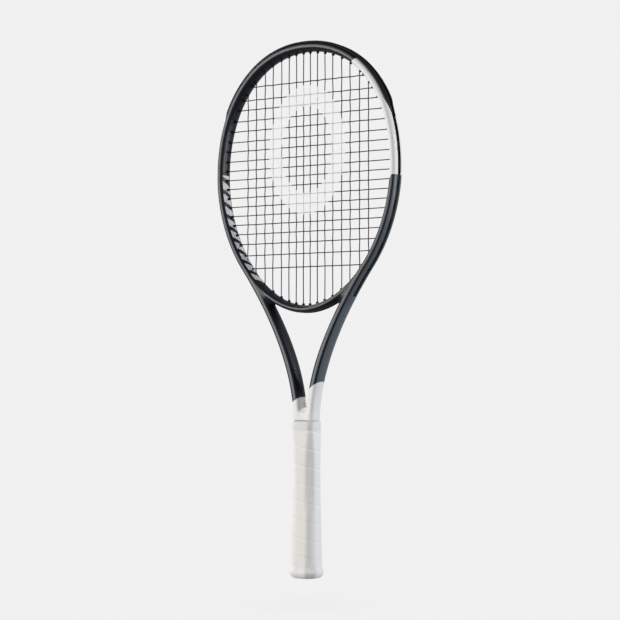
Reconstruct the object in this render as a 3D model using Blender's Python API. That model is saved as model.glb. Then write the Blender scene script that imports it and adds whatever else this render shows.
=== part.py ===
"""Tennis racket, strung, 27 inches long with a 100 square inch head.

Metres, +Z up. X runs across the face, Y through it, Z from the butt to the crown.
The origin is the centre of the butt's underside. The front face looks along -Y.

The hoop follows one oval. Its lower part opens into two shafts that curve together into
the handle, and a separate bridge closes the oval above the throat. Every string end has a
grommet barrel through the frame, and the loops between neighbouring holes lie in a groove
round the outside.
"""
import math

import bmesh
import bpy

MM = 0.001
GAP = 0.3 * MM  # clearance between neighbouring solids

# Driving dimensions -------------------------------------------------------------------
LENGTH = 685 * MM
OVAL_CENTRE_Z = 516.6 * MM
OVAL_HALF_WIDTH = 130 * MM  # to the middle of the frame section
OVAL_RISE = 161 * MM  # from the widest level up to the crown
OVAL_DROP = 175.9 * MM  # from the widest level down to the bridge
UPPER_POWER = 2.15  # 2 is an ellipse, more is squarer
LOWER_POWER = 1.89

HOOP_HALF_WIDTH = 5.4 * MM  # frame section, across the hoop
HOOP_HALF_DEPTH = 11.5 * MM  # frame section, through the face
SHAFT_HALF_WIDTH = 6.5 * MM
HANDLE_SHAFT_HALF_WIDTH = 4.8 * MM
HANDLE_SHAFT_HALF_DEPTH = 8.4 * MM
BRIDGE_HALF_WIDTH = 4.8 * MM
BRIDGE_END_X = 76 * MM  # where the bridge dies into the shafts
WALL = 1.7 * MM  # carbon wall of the hollow tube

JUNCTION_Z = 395.2 * MM  # where the shafts leave the oval
THROAT_PULL_TOP = 61.5 * MM
THROAT_PULL_FOOT = 71 * MM
SHAFT_X = 9.5 * MM
HANDLE_SHAFT_X = 6.4 * MM
SHAFT_END_Z = 11 * MM
NOTCH_Z = 217 * MM  # bottom of the open throat

GROOVE_HALF_WIDTH = 3.3 * MM
GROOVE_DEPTH = 3.0 * MM
BRIDGE_GROOVE_DEPTH = 2.4 * MM
GROOVE_END_Z = 350 * MM

STRING_R = 0.65 * MM
MAIN_X = [x * MM for x in (5.0, 16.0, 27.0, 38.8, 51.8, 64.3, 78.0, 91.0)]
CROSS_Z = [
    z * MM
    for z in (633.9, 616.8, 604.3, 590.1, 576.8, 563.0, 550.6, 537.6, 525.1, 513.1,
              501.2, 489.2, 477.2, 465.2, 453.2, 440.8, 427.5, 412.6, 395.4)
]
BRIDGE_MAINS = 5  # mains on each side that end in the bridge
WEAVE = 1.6 * MM  # height of a cross where it passes a main

BARREL_R = 1.9 * MM
BORE_R = 1.3 * MM
BARREL_STICKS_OUT = 2.8 * MM
LAST_CROSSES_STICK_OUT = 0.8 * MM
FOOT_STICKS_OUT = 0.0  # the holes beside the bridge start at its corner
STRIP_THICK = 0.8 * MM
STRIP_HALF_WIDTH = 2.8 * MM
LANE = 1.45 * MM  # mains loop on the front side of the groove, crosses on the back side
LOOP_HEIGHT = STRIP_THICK + 0.25 * MM + GAP + STRING_R  # string centre above the groove floor

BUMPER_END_Z = 577 * MM
BUMPER_FULL_Z = 602 * MM
BUMPER_TOP = LENGTH - OVAL_CENTRE_Z - OVAL_RISE  # bumper surface above the section's middle
BUMPER_HALF_WIDTH = 8.4 * MM

GRIP_HALF_X = 16.7 * MM
GRIP_HALF_Y = 15.5 * MM
GRIP_THICK = 1.8 * MM
BEVEL = 8.0 * MM  # leg of each corner bevel of the octagon
GRIP_TAPER = 0.7 * MM  # how much the grip slims below the collar, on every side
GRIP_TAPER_Z = 150 * MM
GRIP_TUCK = 2.75 * MM  # how far its top edge is drawn in under the collar, on every side
GRIP_TOP_Z = 187.8 * MM
PALLET_TOP_Z = 183.6 * MM
# The grip swells over the cap: height above the butt and growth on every side, in mm
FLARE = [(8.4, 4.0), (11.0, 3.0), (15.5, 1.9), (23.0, 0.8), (33.0, 0.15), (45.0, 0.0)]

CAP_HEIGHT = 32 * MM
CAP_RIM_Z = 8 * MM
CAP_WALL = 1.3 * MM
# Rounded foot of the cap: growth on every side and height above the butt, in mm
CAP_FOOT = [(-1.0, 0.0), (1.1, 1.0), (2.7, 3.0), (3.6, 5.5), (4.0, 8.0)]
CAP_FLOOR = 3.9 * MM
DOOR_RECESS = 2.6 * MM
DOOR_HALF_X = 12.4 * MM
DOOR_HALF_Y = 10.9 * MM
DOOR_BEVEL = 4.5 * MM
DOOR_THICK = 1.8 * MM
DOOR_LEG_CLEARANCE = 0.25 * MM
WINDOW_STEP = 2.0 * MM  # how far the ledge behind the door reaches in past its recess

COLLAR_FOOT_Z = 184.8 * MM
COLLAR_TOP_Z = 198.4 * MM
COLLAR_WALL = 1.1 * MM
THROAT_FOOT_Z = COLLAR_TOP_Z + 0.6 * MM  # the shafts swell above the collar

STAPLE_Z = 24 * MM
STAPLE_HALF_SPAN = 4.0 * MM
STAPLE_WIRE = 0.6 * MM
STAPLE_LEG = 3.1 * MM
STAPLE_OUTER_X = 14.9 * MM

# Facets --------------------------------------------------------------------------------
HOOP_STEPS = 20  # from the crown to where the shafts leave, on each side
SHAFT_STEPS = 9
HOLE_SIDES = 6
STRING_SIDES = 4

LOOKS = {
    "carbon": ((0.018, 0.021, 0.028), 0.32, 0.25),
    "black_nylon": ((0.012, 0.012, 0.013), 0.5, 0.0),
    "string": ((0.02, 0.02, 0.022), 0.35, 0.0),
    "foam": ((0.62, 0.58, 0.48), 0.8, 0.0),
    "cap_plastic": ((0.72, 0.73, 0.74), 0.45, 0.0),
    "grip_white": ((0.8, 0.8, 0.79), 0.62, 0.0),
    "rubber_grey": ((0.6, 0.6, 0.61), 0.6, 0.0),
    "steel": ((0.6, 0.6, 0.6), 0.3, 1.0),
    "tape": ((0.75, 0.75, 0.76), 0.5, 0.0),
}


# The hoop and shaft lines, in the XZ plane -----------------------------------------------
def oval_point(theta):
    """Point and outward normal of the oval at a turning angle, 90 degrees at the crown."""
    c, s = math.cos(theta), math.sin(theta)
    power, height = (UPPER_POWER, OVAL_RISE) if s >= 0 else (LOWER_POWER, OVAL_DROP)
    across, along = abs(c) ** (2 / power), abs(s) ** (2 / power)
    nx = math.copysign(across ** (power - 1) / OVAL_HALF_WIDTH, c)
    nz = math.copysign(along ** (power - 1) / height, s)
    size = math.hypot(nx, nz)
    x = math.copysign(OVAL_HALF_WIDTH * across, c)
    z = OVAL_CENTRE_Z + math.copysign(height * along, s)
    return (x, z), (nx / size, nz / size)


def solve(value_at, low, high, wanted):
    """The argument between low and high where a steadily changing function has a value."""
    rising = value_at(high) > value_at(low)
    for _ in range(50):
        middle = (low + high) / 2
        if (value_at(middle) < wanted) == rising:
            low = middle
        else:
            high = middle
    return (low + high) / 2


def junction_angle():
    return solve(lambda a: oval_point(a)[0][1], -math.pi / 2, 0, JUNCTION_Z)


def throat_point(t):
    """Point and outward normal of the right shaft, from the oval at 0 to the handle at 1."""
    (x0, z0), (nx, nz) = oval_point(junction_angle())
    ends = (
        (x0, z0),
        (x0 + nz * THROAT_PULL_TOP, z0 - nx * THROAT_PULL_TOP),
        (SHAFT_X, THROAT_FOOT_Z + THROAT_PULL_FOOT),
        (SHAFT_X, THROAT_FOOT_Z),
    )
    a, b, c, d = (1 - t) ** 3, 3 * t * (1 - t) ** 2, 3 * t * t * (1 - t), t**3
    point = tuple(a * p + b * q + c * r + d * s for p, q, r, s in zip(*ends))
    a, b, c = (1 - t) ** 2, 2 * t * (1 - t), t * t
    down = [a * (q - p) + b * (r - q) + c * (s - r) for p, q, r, s in zip(*ends)]
    size = math.hypot(*down)
    return point, (-down[1] / size, down[0] / size)


def blend(a, b, share):
    share = min(max(share, 0), 1)
    return a + (b - a) * share


class Station:
    """One cross-section of the frame: its place, outward normal, half sizes and groove depth."""

    def __init__(self, point, normal, half_width, half_depth, groove):
        self.x, self.z = point
        self.nx, self.nz = normal
        self.half_width, self.half_depth, self.groove = half_width, half_depth, groove

    def at(self, out, through):
        return (self.x + self.nx * out, through, self.z + self.nz * out)

    def mirrored(self):
        return Station((-self.x, self.z), (-self.nx, self.nz), self.half_width,
                       self.half_depth, self.groove)


def right_half_stations(hoop_steps, shaft_steps):
    """From the crown down the right side to the end of the shaft in the handle."""
    last = junction_angle()
    found = []
    for i in range(hoop_steps + 1):
        angle = math.pi / 2 + (last - math.pi / 2) * i / hoop_steps
        found.append(Station(*oval_point(angle), HOOP_HALF_WIDTH, HOOP_HALF_DEPTH, GROOVE_DEPTH))
    for i in range(1, shaft_steps + 1):
        t = i / shaft_steps
        point, normal = throat_point(t)
        groove = GROOVE_DEPTH if point[1] > GROOVE_END_Z else 0
        width = blend(HOOP_HALF_WIDTH, SHAFT_HALF_WIDTH, t * 1.5)
        found.append(Station(point, normal, width, HOOP_HALF_DEPTH, groove))
    for z in (COLLAR_TOP_Z + GAP, SHAFT_END_Z):
        found.append(Station((HANDLE_SHAFT_X, z), (1, 0), HANDLE_SHAFT_HALF_WIDTH,
                             HANDLE_SHAFT_HALF_DEPTH, 0))
    return found


def hairpin_stations(hoop_steps=HOOP_STEPS, shaft_steps=SHAFT_STEPS):
    """From the left shaft's end up, over the crown and down to the right shaft's end."""
    right = right_half_stations(hoop_steps, shaft_steps)
    return [s.mirrored() for s in right[:0:-1]] + right


def bridge_stations(steps=16):
    """The bottom of the oval between the shafts, from right to left, normals pointing down."""
    end = solve(lambda a: oval_point(a)[0][0], -math.pi / 2, 0, BRIDGE_END_X)
    found = []
    for i in range(steps + 1):
        angle = end - (math.pi + 2 * end) * i / steps
        found.append(Station(*oval_point(angle), BRIDGE_HALF_WIDTH, HOOP_HALF_DEPTH,
                             BRIDGE_GROOVE_DEPTH))
    return found


# Cross-sections, as (outward, through) pairs, round from the front outer corner -----------
def frame_section(s, grow=0.0):
    """Outer skin: narrow flat front and back, rounded sides, and the string groove outside."""
    w, d = s.half_width + grow, s.half_depth + grow
    half = [(0.37 * w, d), (0.84 * w, 0.70 * d), (w, GROOVE_HALF_WIDTH)]
    floor = w - s.groove
    outer = [(u, -v) for u, v in half] + [(floor, -GROOVE_HALF_WIDTH + 0.2 * MM)]
    outer += [(u, -v) for u, v in reversed(outer)]
    inner = [(-u, v) for u, v in half]
    return outer + inner + [(u, -v) for u, v in reversed(inner)]


def void_section(s):
    """Hollow inside the carbon wall."""
    w, d = s.half_width - WALL, s.half_depth - WALL
    behind_groove = min(w, s.half_width - GROOVE_DEPTH - 1.3 * MM)
    half = [(0.35 * w, d), (0.82 * w, 0.6 * d), (behind_groove, 0.34 * d)]
    outer = [(u, -v) for u, v in half]
    outer += [(u, -v) for u, v in reversed(outer)]
    inner = [(-0.3 * w, d), (-w, 0.55 * d)]
    return outer + inner + [(u, -v) for u, v in reversed(inner)]


def ring(station, section):
    return [station.at(u, v) for u, v in section]


# Mesh helpers ----------------------------------------------------------------------------
def material(name):
    found = bpy.data.materials.get(name)
    if found:
        return found
    colour, roughness, metallic = LOOKS[name]
    made = bpy.data.materials.new(name)
    made.use_nodes = True
    shader = made.node_tree.nodes["Principled BSDF"]
    shader.inputs["Base Color"].default_value = (*colour, 1)
    shader.inputs["Roughness"].default_value = roughness
    shader.inputs["Metallic"].default_value = metallic
    return made


def object_from(name, bm, look=None, helper=False):
    bmesh.ops.recalc_face_normals(bm, faces=bm.faces)
    if bm.calc_volume(signed=True) < 0:
        bmesh.ops.reverse_faces(bm, faces=bm.faces)
    mesh = bpy.data.meshes.new(name)
    bm.to_mesh(mesh)
    bm.free()
    made = bpy.data.objects.new(name, mesh)
    bpy.context.scene.collection.objects.link(made)
    if look:
        mesh.materials.append(material(look))
        mesh.shade_smooth()
        mesh.set_sharp_from_angle(angle=math.radians(35))
    if helper:
        made.hide_render = True
        made.display_type = "WIRE"
    return made


def add_skin(bm, rings):
    """Quads between successive rings of equal count. Returns the rings' vertices."""
    rows = [[bm.verts.new(p) for p in points] for points in rings]
    for a, b in zip(rows, rows[1:]):
        for i in range(len(a)):
            j = (i + 1) % len(a)
            bm.faces.new((a[i], a[j], b[j], b[i]))
    return rows


def add_loft(bm, rings):
    """A closed solid through the rings, capped at both ends."""
    rows = add_skin(bm, rings)
    bm.faces.new(reversed(rows[0]))
    bm.faces.new(rows[-1])


def loft(name, rings, look=None, helper=False):
    bm = bmesh.new()
    add_loft(bm, rings)
    return object_from(name, bm, look, helper)


def add_annulus(bm, outer, inner):
    """The flat end between an outer and an inner ring of vertices, filled with triangles."""
    edges = []
    for row in (outer, inner):
        for i in range(len(row)):
            edges.append(bm.edges.get((row[i], row[(i + 1) % len(row)])))
    bmesh.ops.triangle_fill(bm, edges=edges, use_beauty=True)


def hollow_loft(name, outer_rings, inner_rings, look=None):
    """A tube open at both ends."""
    bm = bmesh.new()
    outer = add_skin(bm, outer_rings)
    inner = add_skin(bm, inner_rings)
    for end in (0, -1):
        add_annulus(bm, outer[end], inner[end])
    return object_from(name, bm, look)


def combine(target, other, operation):
    """Adds a Boolean that joins a helper to the target or cuts it out."""
    modifier = target.modifiers.new(operation.lower(), "BOOLEAN")
    modifier.operation = operation
    modifier.solver = "EXACT"
    modifier.object = other


def frame_at(direction):
    """Two unit vectors square to a direction."""
    x, y, z = direction
    helper = (0, 1, 0) if abs(y) < 0.9 else (1, 0, 0)
    a = (y * helper[2] - z * helper[1], z * helper[0] - x * helper[2], x * helper[1] - y * helper[0])
    size = math.sqrt(sum(v * v for v in a))
    a = tuple(v / size for v in a)
    b = (y * a[2] - z * a[1], z * a[0] - x * a[2], x * a[1] - y * a[0])
    return a, b


def round_ring(centre, direction, radius, sides):
    a, b = frame_at(direction)
    turns = [2 * math.pi * i / sides for i in range(sides)]
    return [
        tuple(c + radius * (math.cos(t) * p + math.sin(t) * q) for c, p, q in zip(centre, a, b))
        for t in turns
    ]


def pins(name, holes, radius, start, end):
    """Straight round helpers on the axes of holes, start and end measured from each tip."""
    bm = bmesh.new()
    for hole in holes:
        direction = (hole.ax, 0, hole.az)
        begin, finish = start(hole), end(hole)
        rings = [round_ring(hole.at(d), direction, radius, HOLE_SIDES) for d in (begin, finish)]
        add_loft(bm, rings)
    return object_from(name, bm, helper=True)


# Grommet holes -----------------------------------------------------------------------------
class Hole:
    """A string hole: the barrel's inner tip, the axis pointing outward, and how far the groove
    floor lies from the tip along it. line is the Line whose groove the hole opens into."""

    def __init__(self, tip, axis, line):
        self.x, self.z = tip
        size = math.hypot(*axis)
        self.ax, self.az = axis[0] / size, axis[1] / size
        self.line = line
        self.floor = solve(lambda d: line.height_over_floor(self.at(d)), 0, 30 * MM, 0)
        self.place = line.place_of(self.at(self.floor))

    def at(self, distance, through=0.0):
        return (self.x + self.ax * distance, through, self.z + self.az * distance)


class Line:
    """The groove of the hairpin or of the bridge as a measured line."""

    def __init__(self, stations):
        self.stations = stations
        self.lengths = [0.0]
        for a, b in zip(stations, stations[1:]):
            self.lengths.append(self.lengths[-1] + math.hypot(b.x - a.x, b.z - a.z))

    def station(self, place):
        i = max(1, next((k for k, l in enumerate(self.lengths) if l >= place), len(self.lengths) - 1))
        a, b = self.stations[i - 1], self.stations[i]
        share = (place - self.lengths[i - 1]) / (self.lengths[i] - self.lengths[i - 1])
        nx, nz = blend(a.nx, b.nx, share), blend(a.nz, b.nz, share)
        size = math.hypot(nx, nz)
        return Station((blend(a.x, b.x, share), blend(a.z, b.z, share)), (nx / size, nz / size),
                       blend(a.half_width, b.half_width, share), a.half_depth,
                       max(a.groove, b.groove))

    def place_of(self, point):
        """How far along the line a point lies, square to it."""
        x, _, z = point

        def still_ahead(place):
            s = self.station(place)
            return (x - s.x) * s.nz - (z - s.z) * s.nx

        nearest = min(range(len(self.stations)),
                      key=lambda i: math.hypot(self.stations[i].x - x, self.stations[i].z - z))
        low = self.lengths[max(nearest - 1, 0)]
        high = self.lengths[min(nearest + 1, len(self.lengths) - 1)]
        return solve(still_ahead, low, high, 0)

    def between(self, start, end):
        """Both places and that of every bend of the line between them."""
        low, high = min(start, end), max(start, end)
        margin = 0.5 * MM
        places = [low] + [p for p in self.lengths if low + margin < p < high - margin] + [high]
        return places if start < end else places[::-1]

    def height_over_floor(self, point):
        s = self.station(self.place_of(point))
        x, _, z = point
        return (x - s.x) * s.nx + (z - s.z) * s.nz - (s.half_width - s.groove)


def oval_hole(angle, line, sticks_out=BARREL_STICKS_OUT):
    return Hole(tip_of(angle, sticks_out), oval_point(angle)[1], line)


def tip_of(angle, sticks_out=BARREL_STICKS_OUT):
    (x, z), (nx, nz) = oval_point(angle)
    reach = HOOP_HALF_WIDTH + sticks_out
    return x - nx * reach, z - nz * reach


def bridge_hole(x, line):
    """Bridge holes run nearly along the mains and lean in towards the middle."""
    reach = BRIDGE_HALF_WIDTH

    def inner_x(angle):
        (px, _), (nx, _) = oval_point(angle)
        return px - nx * reach

    low, high = (-math.pi / 2, -0.3) if x > 0 else (-math.pi + 0.3, -math.pi / 2)
    angle = solve(inner_x, low, high, x)
    (_, z), (_, nz) = oval_point(angle)
    lean = -0.25 * x / MAIN_X[BRIDGE_MAINS - 1]
    return Hole((x, z - nz * reach + BARREL_STICKS_OUT), (lean, -1), line)


def shoulder_hole(x, line):
    """Holes beside the bridge start on the oval and leave square to the frame's outside."""
    angle = solve(lambda a: tip_of(a, FOOT_STICKS_OUT)[0], -math.pi / 2, -0.3, x)
    tip = tip_of(angle, FOOT_STICKS_OUT)
    nearest = line.station(line.place_of((tip[0], 0, tip[1])))
    return Hole(tip, (nearest.nx, nearest.nz), line)


def mirrored_hole(hole, line):
    return Hole((-hole.x, hole.z), (-hole.ax, hole.az), line)


class Holes:
    """Every string hole, by the string that ends in it."""

    def __init__(self, hairpin, bridge):
        half = math.pi / 2
        self.main_top, self.main_foot = {}, {}
        self.cross_right, self.cross_left = [], []
        for i, x in enumerate(MAIN_X):
            top = oval_hole(solve(lambda a: tip_of(a)[0], 0.1, half, x), hairpin)
            if i < BRIDGE_MAINS:
                foot, foot_line = bridge_hole(x, bridge), bridge
            else:
                foot = shoulder_hole(x, hairpin)
                foot_line = hairpin
            self.main_top[i + 1] = top
            self.main_top[-i - 1] = mirrored_hole(top, hairpin)
            self.main_foot[i + 1] = foot
            self.main_foot[-i - 1] = mirrored_hole(foot, foot_line)
        for row, z in enumerate(CROSS_Z):
            sticks_out = BARREL_STICKS_OUT if row < len(CROSS_Z) - 2 else LAST_CROSSES_STICK_OUT
            angle = solve(lambda a: tip_of(a, sticks_out)[1], -1.2, 1.2, z)
            right = oval_hole(angle, hairpin, sticks_out)
            self.cross_right.append(right)
            self.cross_left.append(mirrored_hole(right, hairpin))
        feet = list(self.main_foot.items())
        self.in_bridge = [hole for i, hole in feet if abs(i) <= BRIDGE_MAINS]
        self.beside_bridge = [hole for i, hole in feet if abs(i) == BRIDGE_MAINS + 1]
        self.in_hairpin = [hole for i, hole in feet if abs(i) > BRIDGE_MAINS]
        self.in_hairpin += [*self.main_top.values(), *self.cross_right, *self.cross_left]


# Frame -------------------------------------------------------------------------------------
def hole_cutter(name, holes):
    margin = 3 * MM
    return pins(name, holes, BARREL_R + GAP, lambda h: -margin,
                lambda h: h.floor + margin)


def build_hairpin(holes):
    """The carbon tube: hoop and both shafts in one, hollow, drilled, with a web in the handle."""
    stations = hairpin_stations()
    tube = hollow_loft("frame_hairpin", [ring(s, frame_section(s)) for s in stations],
                       [ring(s, void_section(s)) for s in stations], "carbon")
    inside = 1.2 * MM
    narrow, wide = HANDLE_SHAFT_HALF_DEPTH - inside, HOOP_HALF_DEPTH - inside
    web_rings = []
    for z, half_width, depth in (
        (SHAFT_END_Z + 2 * MM, 2.4 * MM, narrow),
        (COLLAR_TOP_Z + GAP, 2.4 * MM, narrow),
        (THROAT_FOOT_Z, 3.9 * MM, wide),
        (NOTCH_Z, 4.2 * MM, wide),
    ):
        corners = ((-1, -1), (1, -1), (1, 1), (-1, 1))
        web_rings.append([(half_width * a, depth * b, z) for a, b in corners])
    combine(tube, loft("web_between_shafts", web_rings, helper=True), "UNION")
    combine(tube, hole_cutter("hairpin_hole_cutter", holes.in_hairpin), "DIFFERENCE")


def build_bridge(holes):
    """The throat bridge, cut to fit between the shafts."""
    stations = bridge_stations()
    bridge = loft("throat_bridge", [ring(s, frame_section(s)) for s in stations], "carbon")
    rings = [ring(s, frame_section(s, GAP)) for s in hairpin_stations()]
    combine(bridge, loft("bridge_end_cutter", rings, helper=True), "DIFFERENCE")
    drilled = holes.in_bridge + holes.beside_bridge
    combine(bridge, hole_cutter("bridge_hole_cutter", drilled), "DIFFERENCE")


# Grommet strips and bumper -------------------------------------------------------------------
def strip_section(s):
    floor = s.half_width - s.groove + 0.25 * MM
    top = floor + STRIP_THICK
    return [(floor, -STRIP_HALF_WIDTH), (floor, STRIP_HALF_WIDTH), (top, STRIP_HALF_WIDTH - 0.2 * MM),
            (top, -STRIP_HALF_WIDTH + 0.2 * MM)]


def bumper_section(s, share):
    """The strip in the groove and, on top of the frame, two cheeks that share widens from none."""
    floor = s.half_width - s.groove + 0.25 * MM
    edge = blend(GROOVE_HALF_WIDTH, BUMPER_HALF_WIDTH, share)
    shoulder = 0.70 * s.half_depth
    drop = 0.16 * s.half_width * max(edge - GROOVE_HALF_WIDTH, 0) / (shoulder - GROOVE_HALF_WIDTH)
    under = s.half_width + GAP
    top = blend(under + 0.7 * MM, BUMPER_TOP, share)
    half = [
        (floor, STRIP_HALF_WIDTH),
        (under, STRIP_HALF_WIDTH),
        (under - drop + 0.05 * MM, edge),
        (under - drop + 0.5 * MM, edge + 0.25 * MM),
        (top - 0.25 * MM * share, blend(STRIP_HALF_WIDTH + 0.2 * MM, edge - 1.6 * MM, share)),
        (top, 2.6 * MM),
        (floor + STRIP_THICK, 2.35 * MM),
    ]
    return half + [(u, -v) for u, v in reversed(half)]


def barrels(target, name, holes):
    """Joins the grommet barrels to a strip and bores them."""
    outside = pins(name + "_barrels", holes, BARREL_R, lambda h: 0.0,
                   lambda h: h.floor + 0.25 * MM + STRIP_THICK / 2)
    combine(target, outside, "UNION")
    bores = pins(name + "_bores", holes, BORE_R, lambda h: -1 * MM, lambda h: h.floor + 4 * MM)
    combine(target, bores, "DIFFERENCE")


def place_at_height(line, z):
    """How far along the hairpin, on the right side, a height of the hoop lies."""
    right = [(l, s) for l, s in zip(line.lengths, line.stations) if s.x > 0]
    for (l0, s0), (l1, s1) in zip(right, right[1:]):
        if s0.z >= z > s1.z:
            return l0 + (l1 - l0) * (s0.z - z) / (s0.z - s1.z)
    return right[-1][0]


def strip_along(name, line, start, end):
    stations = [line.station(place) for place in line.between(start, end)]
    return loft(name, [ring(s, strip_section(s)) for s in stations], "black_nylon")


def build_grommets(holes, hairpin, bridge):
    middle = hairpin.lengths[-1] / 2
    full = place_at_height(hairpin, BUMPER_FULL_Z)
    end = place_at_height(hairpin, BUMPER_END_Z)
    foot = max(p for p, s in zip(hairpin.lengths, hairpin.stations) if s.groove)

    places = hairpin.between(2 * middle - end, 2 * middle - full)[:-1]
    places += hairpin.between(2 * middle - full, full)
    places += hairpin.between(full, end)[1:]
    rings = []
    for place in places:
        s = hairpin.station(place)
        share = blend(0, 1, (end - abs(place - middle) - middle) / (end - full))
        rings.append(ring(s, bumper_section(s, share)))
    bumper = loft("bumper_guard", rings, "black_nylon")
    crown_holes = [h for h in holes.in_hairpin if abs(h.place - middle) < end - middle]
    barrels(bumper, "bumper", crown_holes)

    for side, name in ((1, "grommet_strip_right"), (-1, "grommet_strip_left")):
        reach = [middle + side * (p - middle) for p in (end + 0.5 * MM, foot)]
        strip = strip_along(name, hairpin, *reach)
        own = [h for h in holes.in_hairpin if end < middle + side * (h.place - middle) < foot]
        barrels(strip, name, own)

    last = holes.main_foot[-BRIDGE_MAINS].place + 3.0 * MM
    reach = (bridge.lengths[-1] - last, last)
    strip = strip_along("grommet_strip_throat", bridge, *reach)
    barrels(strip, "throat", holes.in_bridge)


# Strings -------------------------------------------------------------------------------------
def out_of(hole, toward, lane):
    """The string from the inner bend, out through the barrel and over into its lane."""
    line, place = hole.line, hole.place
    points = [hole.at(-0.4 * MM), hole.at(hole.floor + 1.9 * MM)]
    for step, share in ((1.3 * MM, 0.5), (3.4 * MM, 1.0)):
        s = line.station(place + toward * step)
        points.append(s.at(s.half_width - s.groove + LOOP_HEIGHT, lane * share))
    return points


def loop_between(first, second, lane):
    """The string from one hole's inner bend, along the groove, to the next one's."""
    toward = 1 if second.place > first.place else -1
    start, end = first.place + toward * 3.4 * MM, second.place - toward * 3.4 * MM
    bends = [first.line.station(place) for place in first.line.between(start, end)[1:-1]]
    middle = [s.at(s.half_width - s.groove + LOOP_HEIGHT, lane) for s in bends]
    return out_of(first, toward, lane) + middle + out_of(second, -toward, lane)[::-1]


def tail_of(hole, lane):
    """A string end: out through the barrel, finishing in a knot on its side of the groove."""
    side = 0.6 * lane
    return [hole.at(-0.4 * MM), hole.at(hole.floor + 1.3 * MM), hole.at(hole.floor + 2.3 * MM, side),
            hole.at(hole.floor + 3.3 * MM, side), hole.at(hole.floor + 3.9 * MM, side)]


TAIL_RADII = [STRING_R, STRING_R, 1.25 * MM, 1.25 * MM, 0.5 * MM]


def tube(name, points, radii, look):
    """A round string through points, its rings square to the line's bisector at each point."""
    bm = bmesh.new()
    rows = []
    side = None
    for i, p in enumerate(points):
        before, after = points[max(i - 1, 0)], points[min(i + 1, len(points) - 1)]
        ways = []
        for a, b in ((before, p), (p, after)):
            size = math.dist(a, b)
            ways.append([(q - o) / size if size else 0 for o, q in zip(a, b)])
        way = [a + b for a, b in zip(*ways)]
        size = math.sqrt(sum(v * v for v in way))
        way = [v / size for v in way]
        if side is None:
            side = frame_at(way)[0]
        along = sum(a * b for a, b in zip(side, way))
        side = [a - along * b for a, b in zip(side, way)]
        size = math.sqrt(sum(v * v for v in side))
        side = [v / size for v in side]
        up = (way[1] * side[2] - way[2] * side[1], way[2] * side[0] - way[0] * side[2],
              way[0] * side[1] - way[1] * side[0])
        turns = [2 * math.pi * k / STRING_SIDES for k in range(STRING_SIDES)]
        rows.append([
            tuple(c + radii[i] * (math.cos(t) * a + math.sin(t) * b) for c, a, b in zip(p, side, up))
            for t in turns
        ])
    add_loft(bm, rows)
    return object_from(name, bm, look)


def build_main_string(holes):
    """One length: outermost main to outermost main, looping at the foot and crown in turn."""
    order = [i for i in range(-len(MAIN_X), len(MAIN_X) + 1) if i]
    points = tail_of(holes.main_foot[order[0]], -LANE)[::-1]
    radii = TAIL_RADII[::-1]
    at_crown = True
    for here, after in zip(order, order[1:]):
        ends = holes.main_top if at_crown else holes.main_foot
        loop = loop_between(ends[here], ends[after], -LANE)
        points += loop
        radii = radii + [STRING_R] * len(loop)
        at_crown = not at_crown
    points += tail_of(holes.main_foot[order[-1]], -LANE)
    radii = radii + TAIL_RADII
    tube("main_string", points, radii, "string")


def build_cross_string(holes):
    """One length woven over and under the mains, from the crown down, looping at the sides."""
    xs = sorted([-x for x in MAIN_X] + MAIN_X)
    points = tail_of(holes.cross_left[0], LANE)[::-1]
    radii = TAIL_RADII[::-1]
    for row, z in enumerate(CROSS_Z):
        rightward = row % 2 == 0
        ends = (holes.cross_left[row], holes.cross_right[row])
        reach = abs(ends[1].x) - 1.0 * MM
        woven = [
            (x, WEAVE if (k + row) % 2 else -WEAVE, z)
            for k, x in enumerate(xs) if abs(x) < reach
        ]
        points += woven if rightward else woven[::-1]
        radii = radii + [STRING_R] * len(woven)
        side = holes.cross_right if rightward else holes.cross_left
        if row + 1 < len(CROSS_Z):
            loop = loop_between(side[row], side[row + 1], LANE)
            points += loop
            radii = radii + [STRING_R] * len(loop)
    points += tail_of(holes.cross_right[-1], LANE)
    radii = radii + TAIL_RADII
    tube("cross_string", points, radii, "string")


# Handle --------------------------------------------------------------------------------------
def octagon(half_x, half_y, bevel, z):
    """Ring of a bevelled rectangle, starting at the back of the right face."""
    corner = [(half_x, half_y - bevel), (half_x - bevel, half_y)]
    back = corner + [(-x, y) for x, y in reversed(corner)]
    return [(x, y, z) for x, y in back + [(-x, -y) for x, y in back]]


def grip_octagon(inset, z):
    """The grip's octagon moved in by the same distance on every side."""
    bevel = BEVEL - inset * (2 - math.sqrt(2))
    return octagon(GRIP_HALF_X - inset, GRIP_HALF_Y - inset, bevel, z)


def growth(z):
    """How far the grip's surface lies outside its full octagon at a height."""
    if z > COLLAR_FOOT_Z:
        return -GRIP_TUCK
    if z > GRIP_TAPER_Z:
        return blend(0, -GRIP_TAPER, (z - GRIP_TAPER_Z) / (COLLAR_FOOT_Z - GRIP_TAPER_Z))
    for (z0, g0), (z1, g1) in zip(FLARE, FLARE[1:]):
        if z <= z1 * MM:
            return blend(g0, g1, (z / MM - z0) / (z1 - z0)) * MM
    return 0


PALLET_INSET = GRIP_THICK + GAP
PALLET_FOOT_INSET = PALLET_INSET + CAP_WALL + GAP


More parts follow.
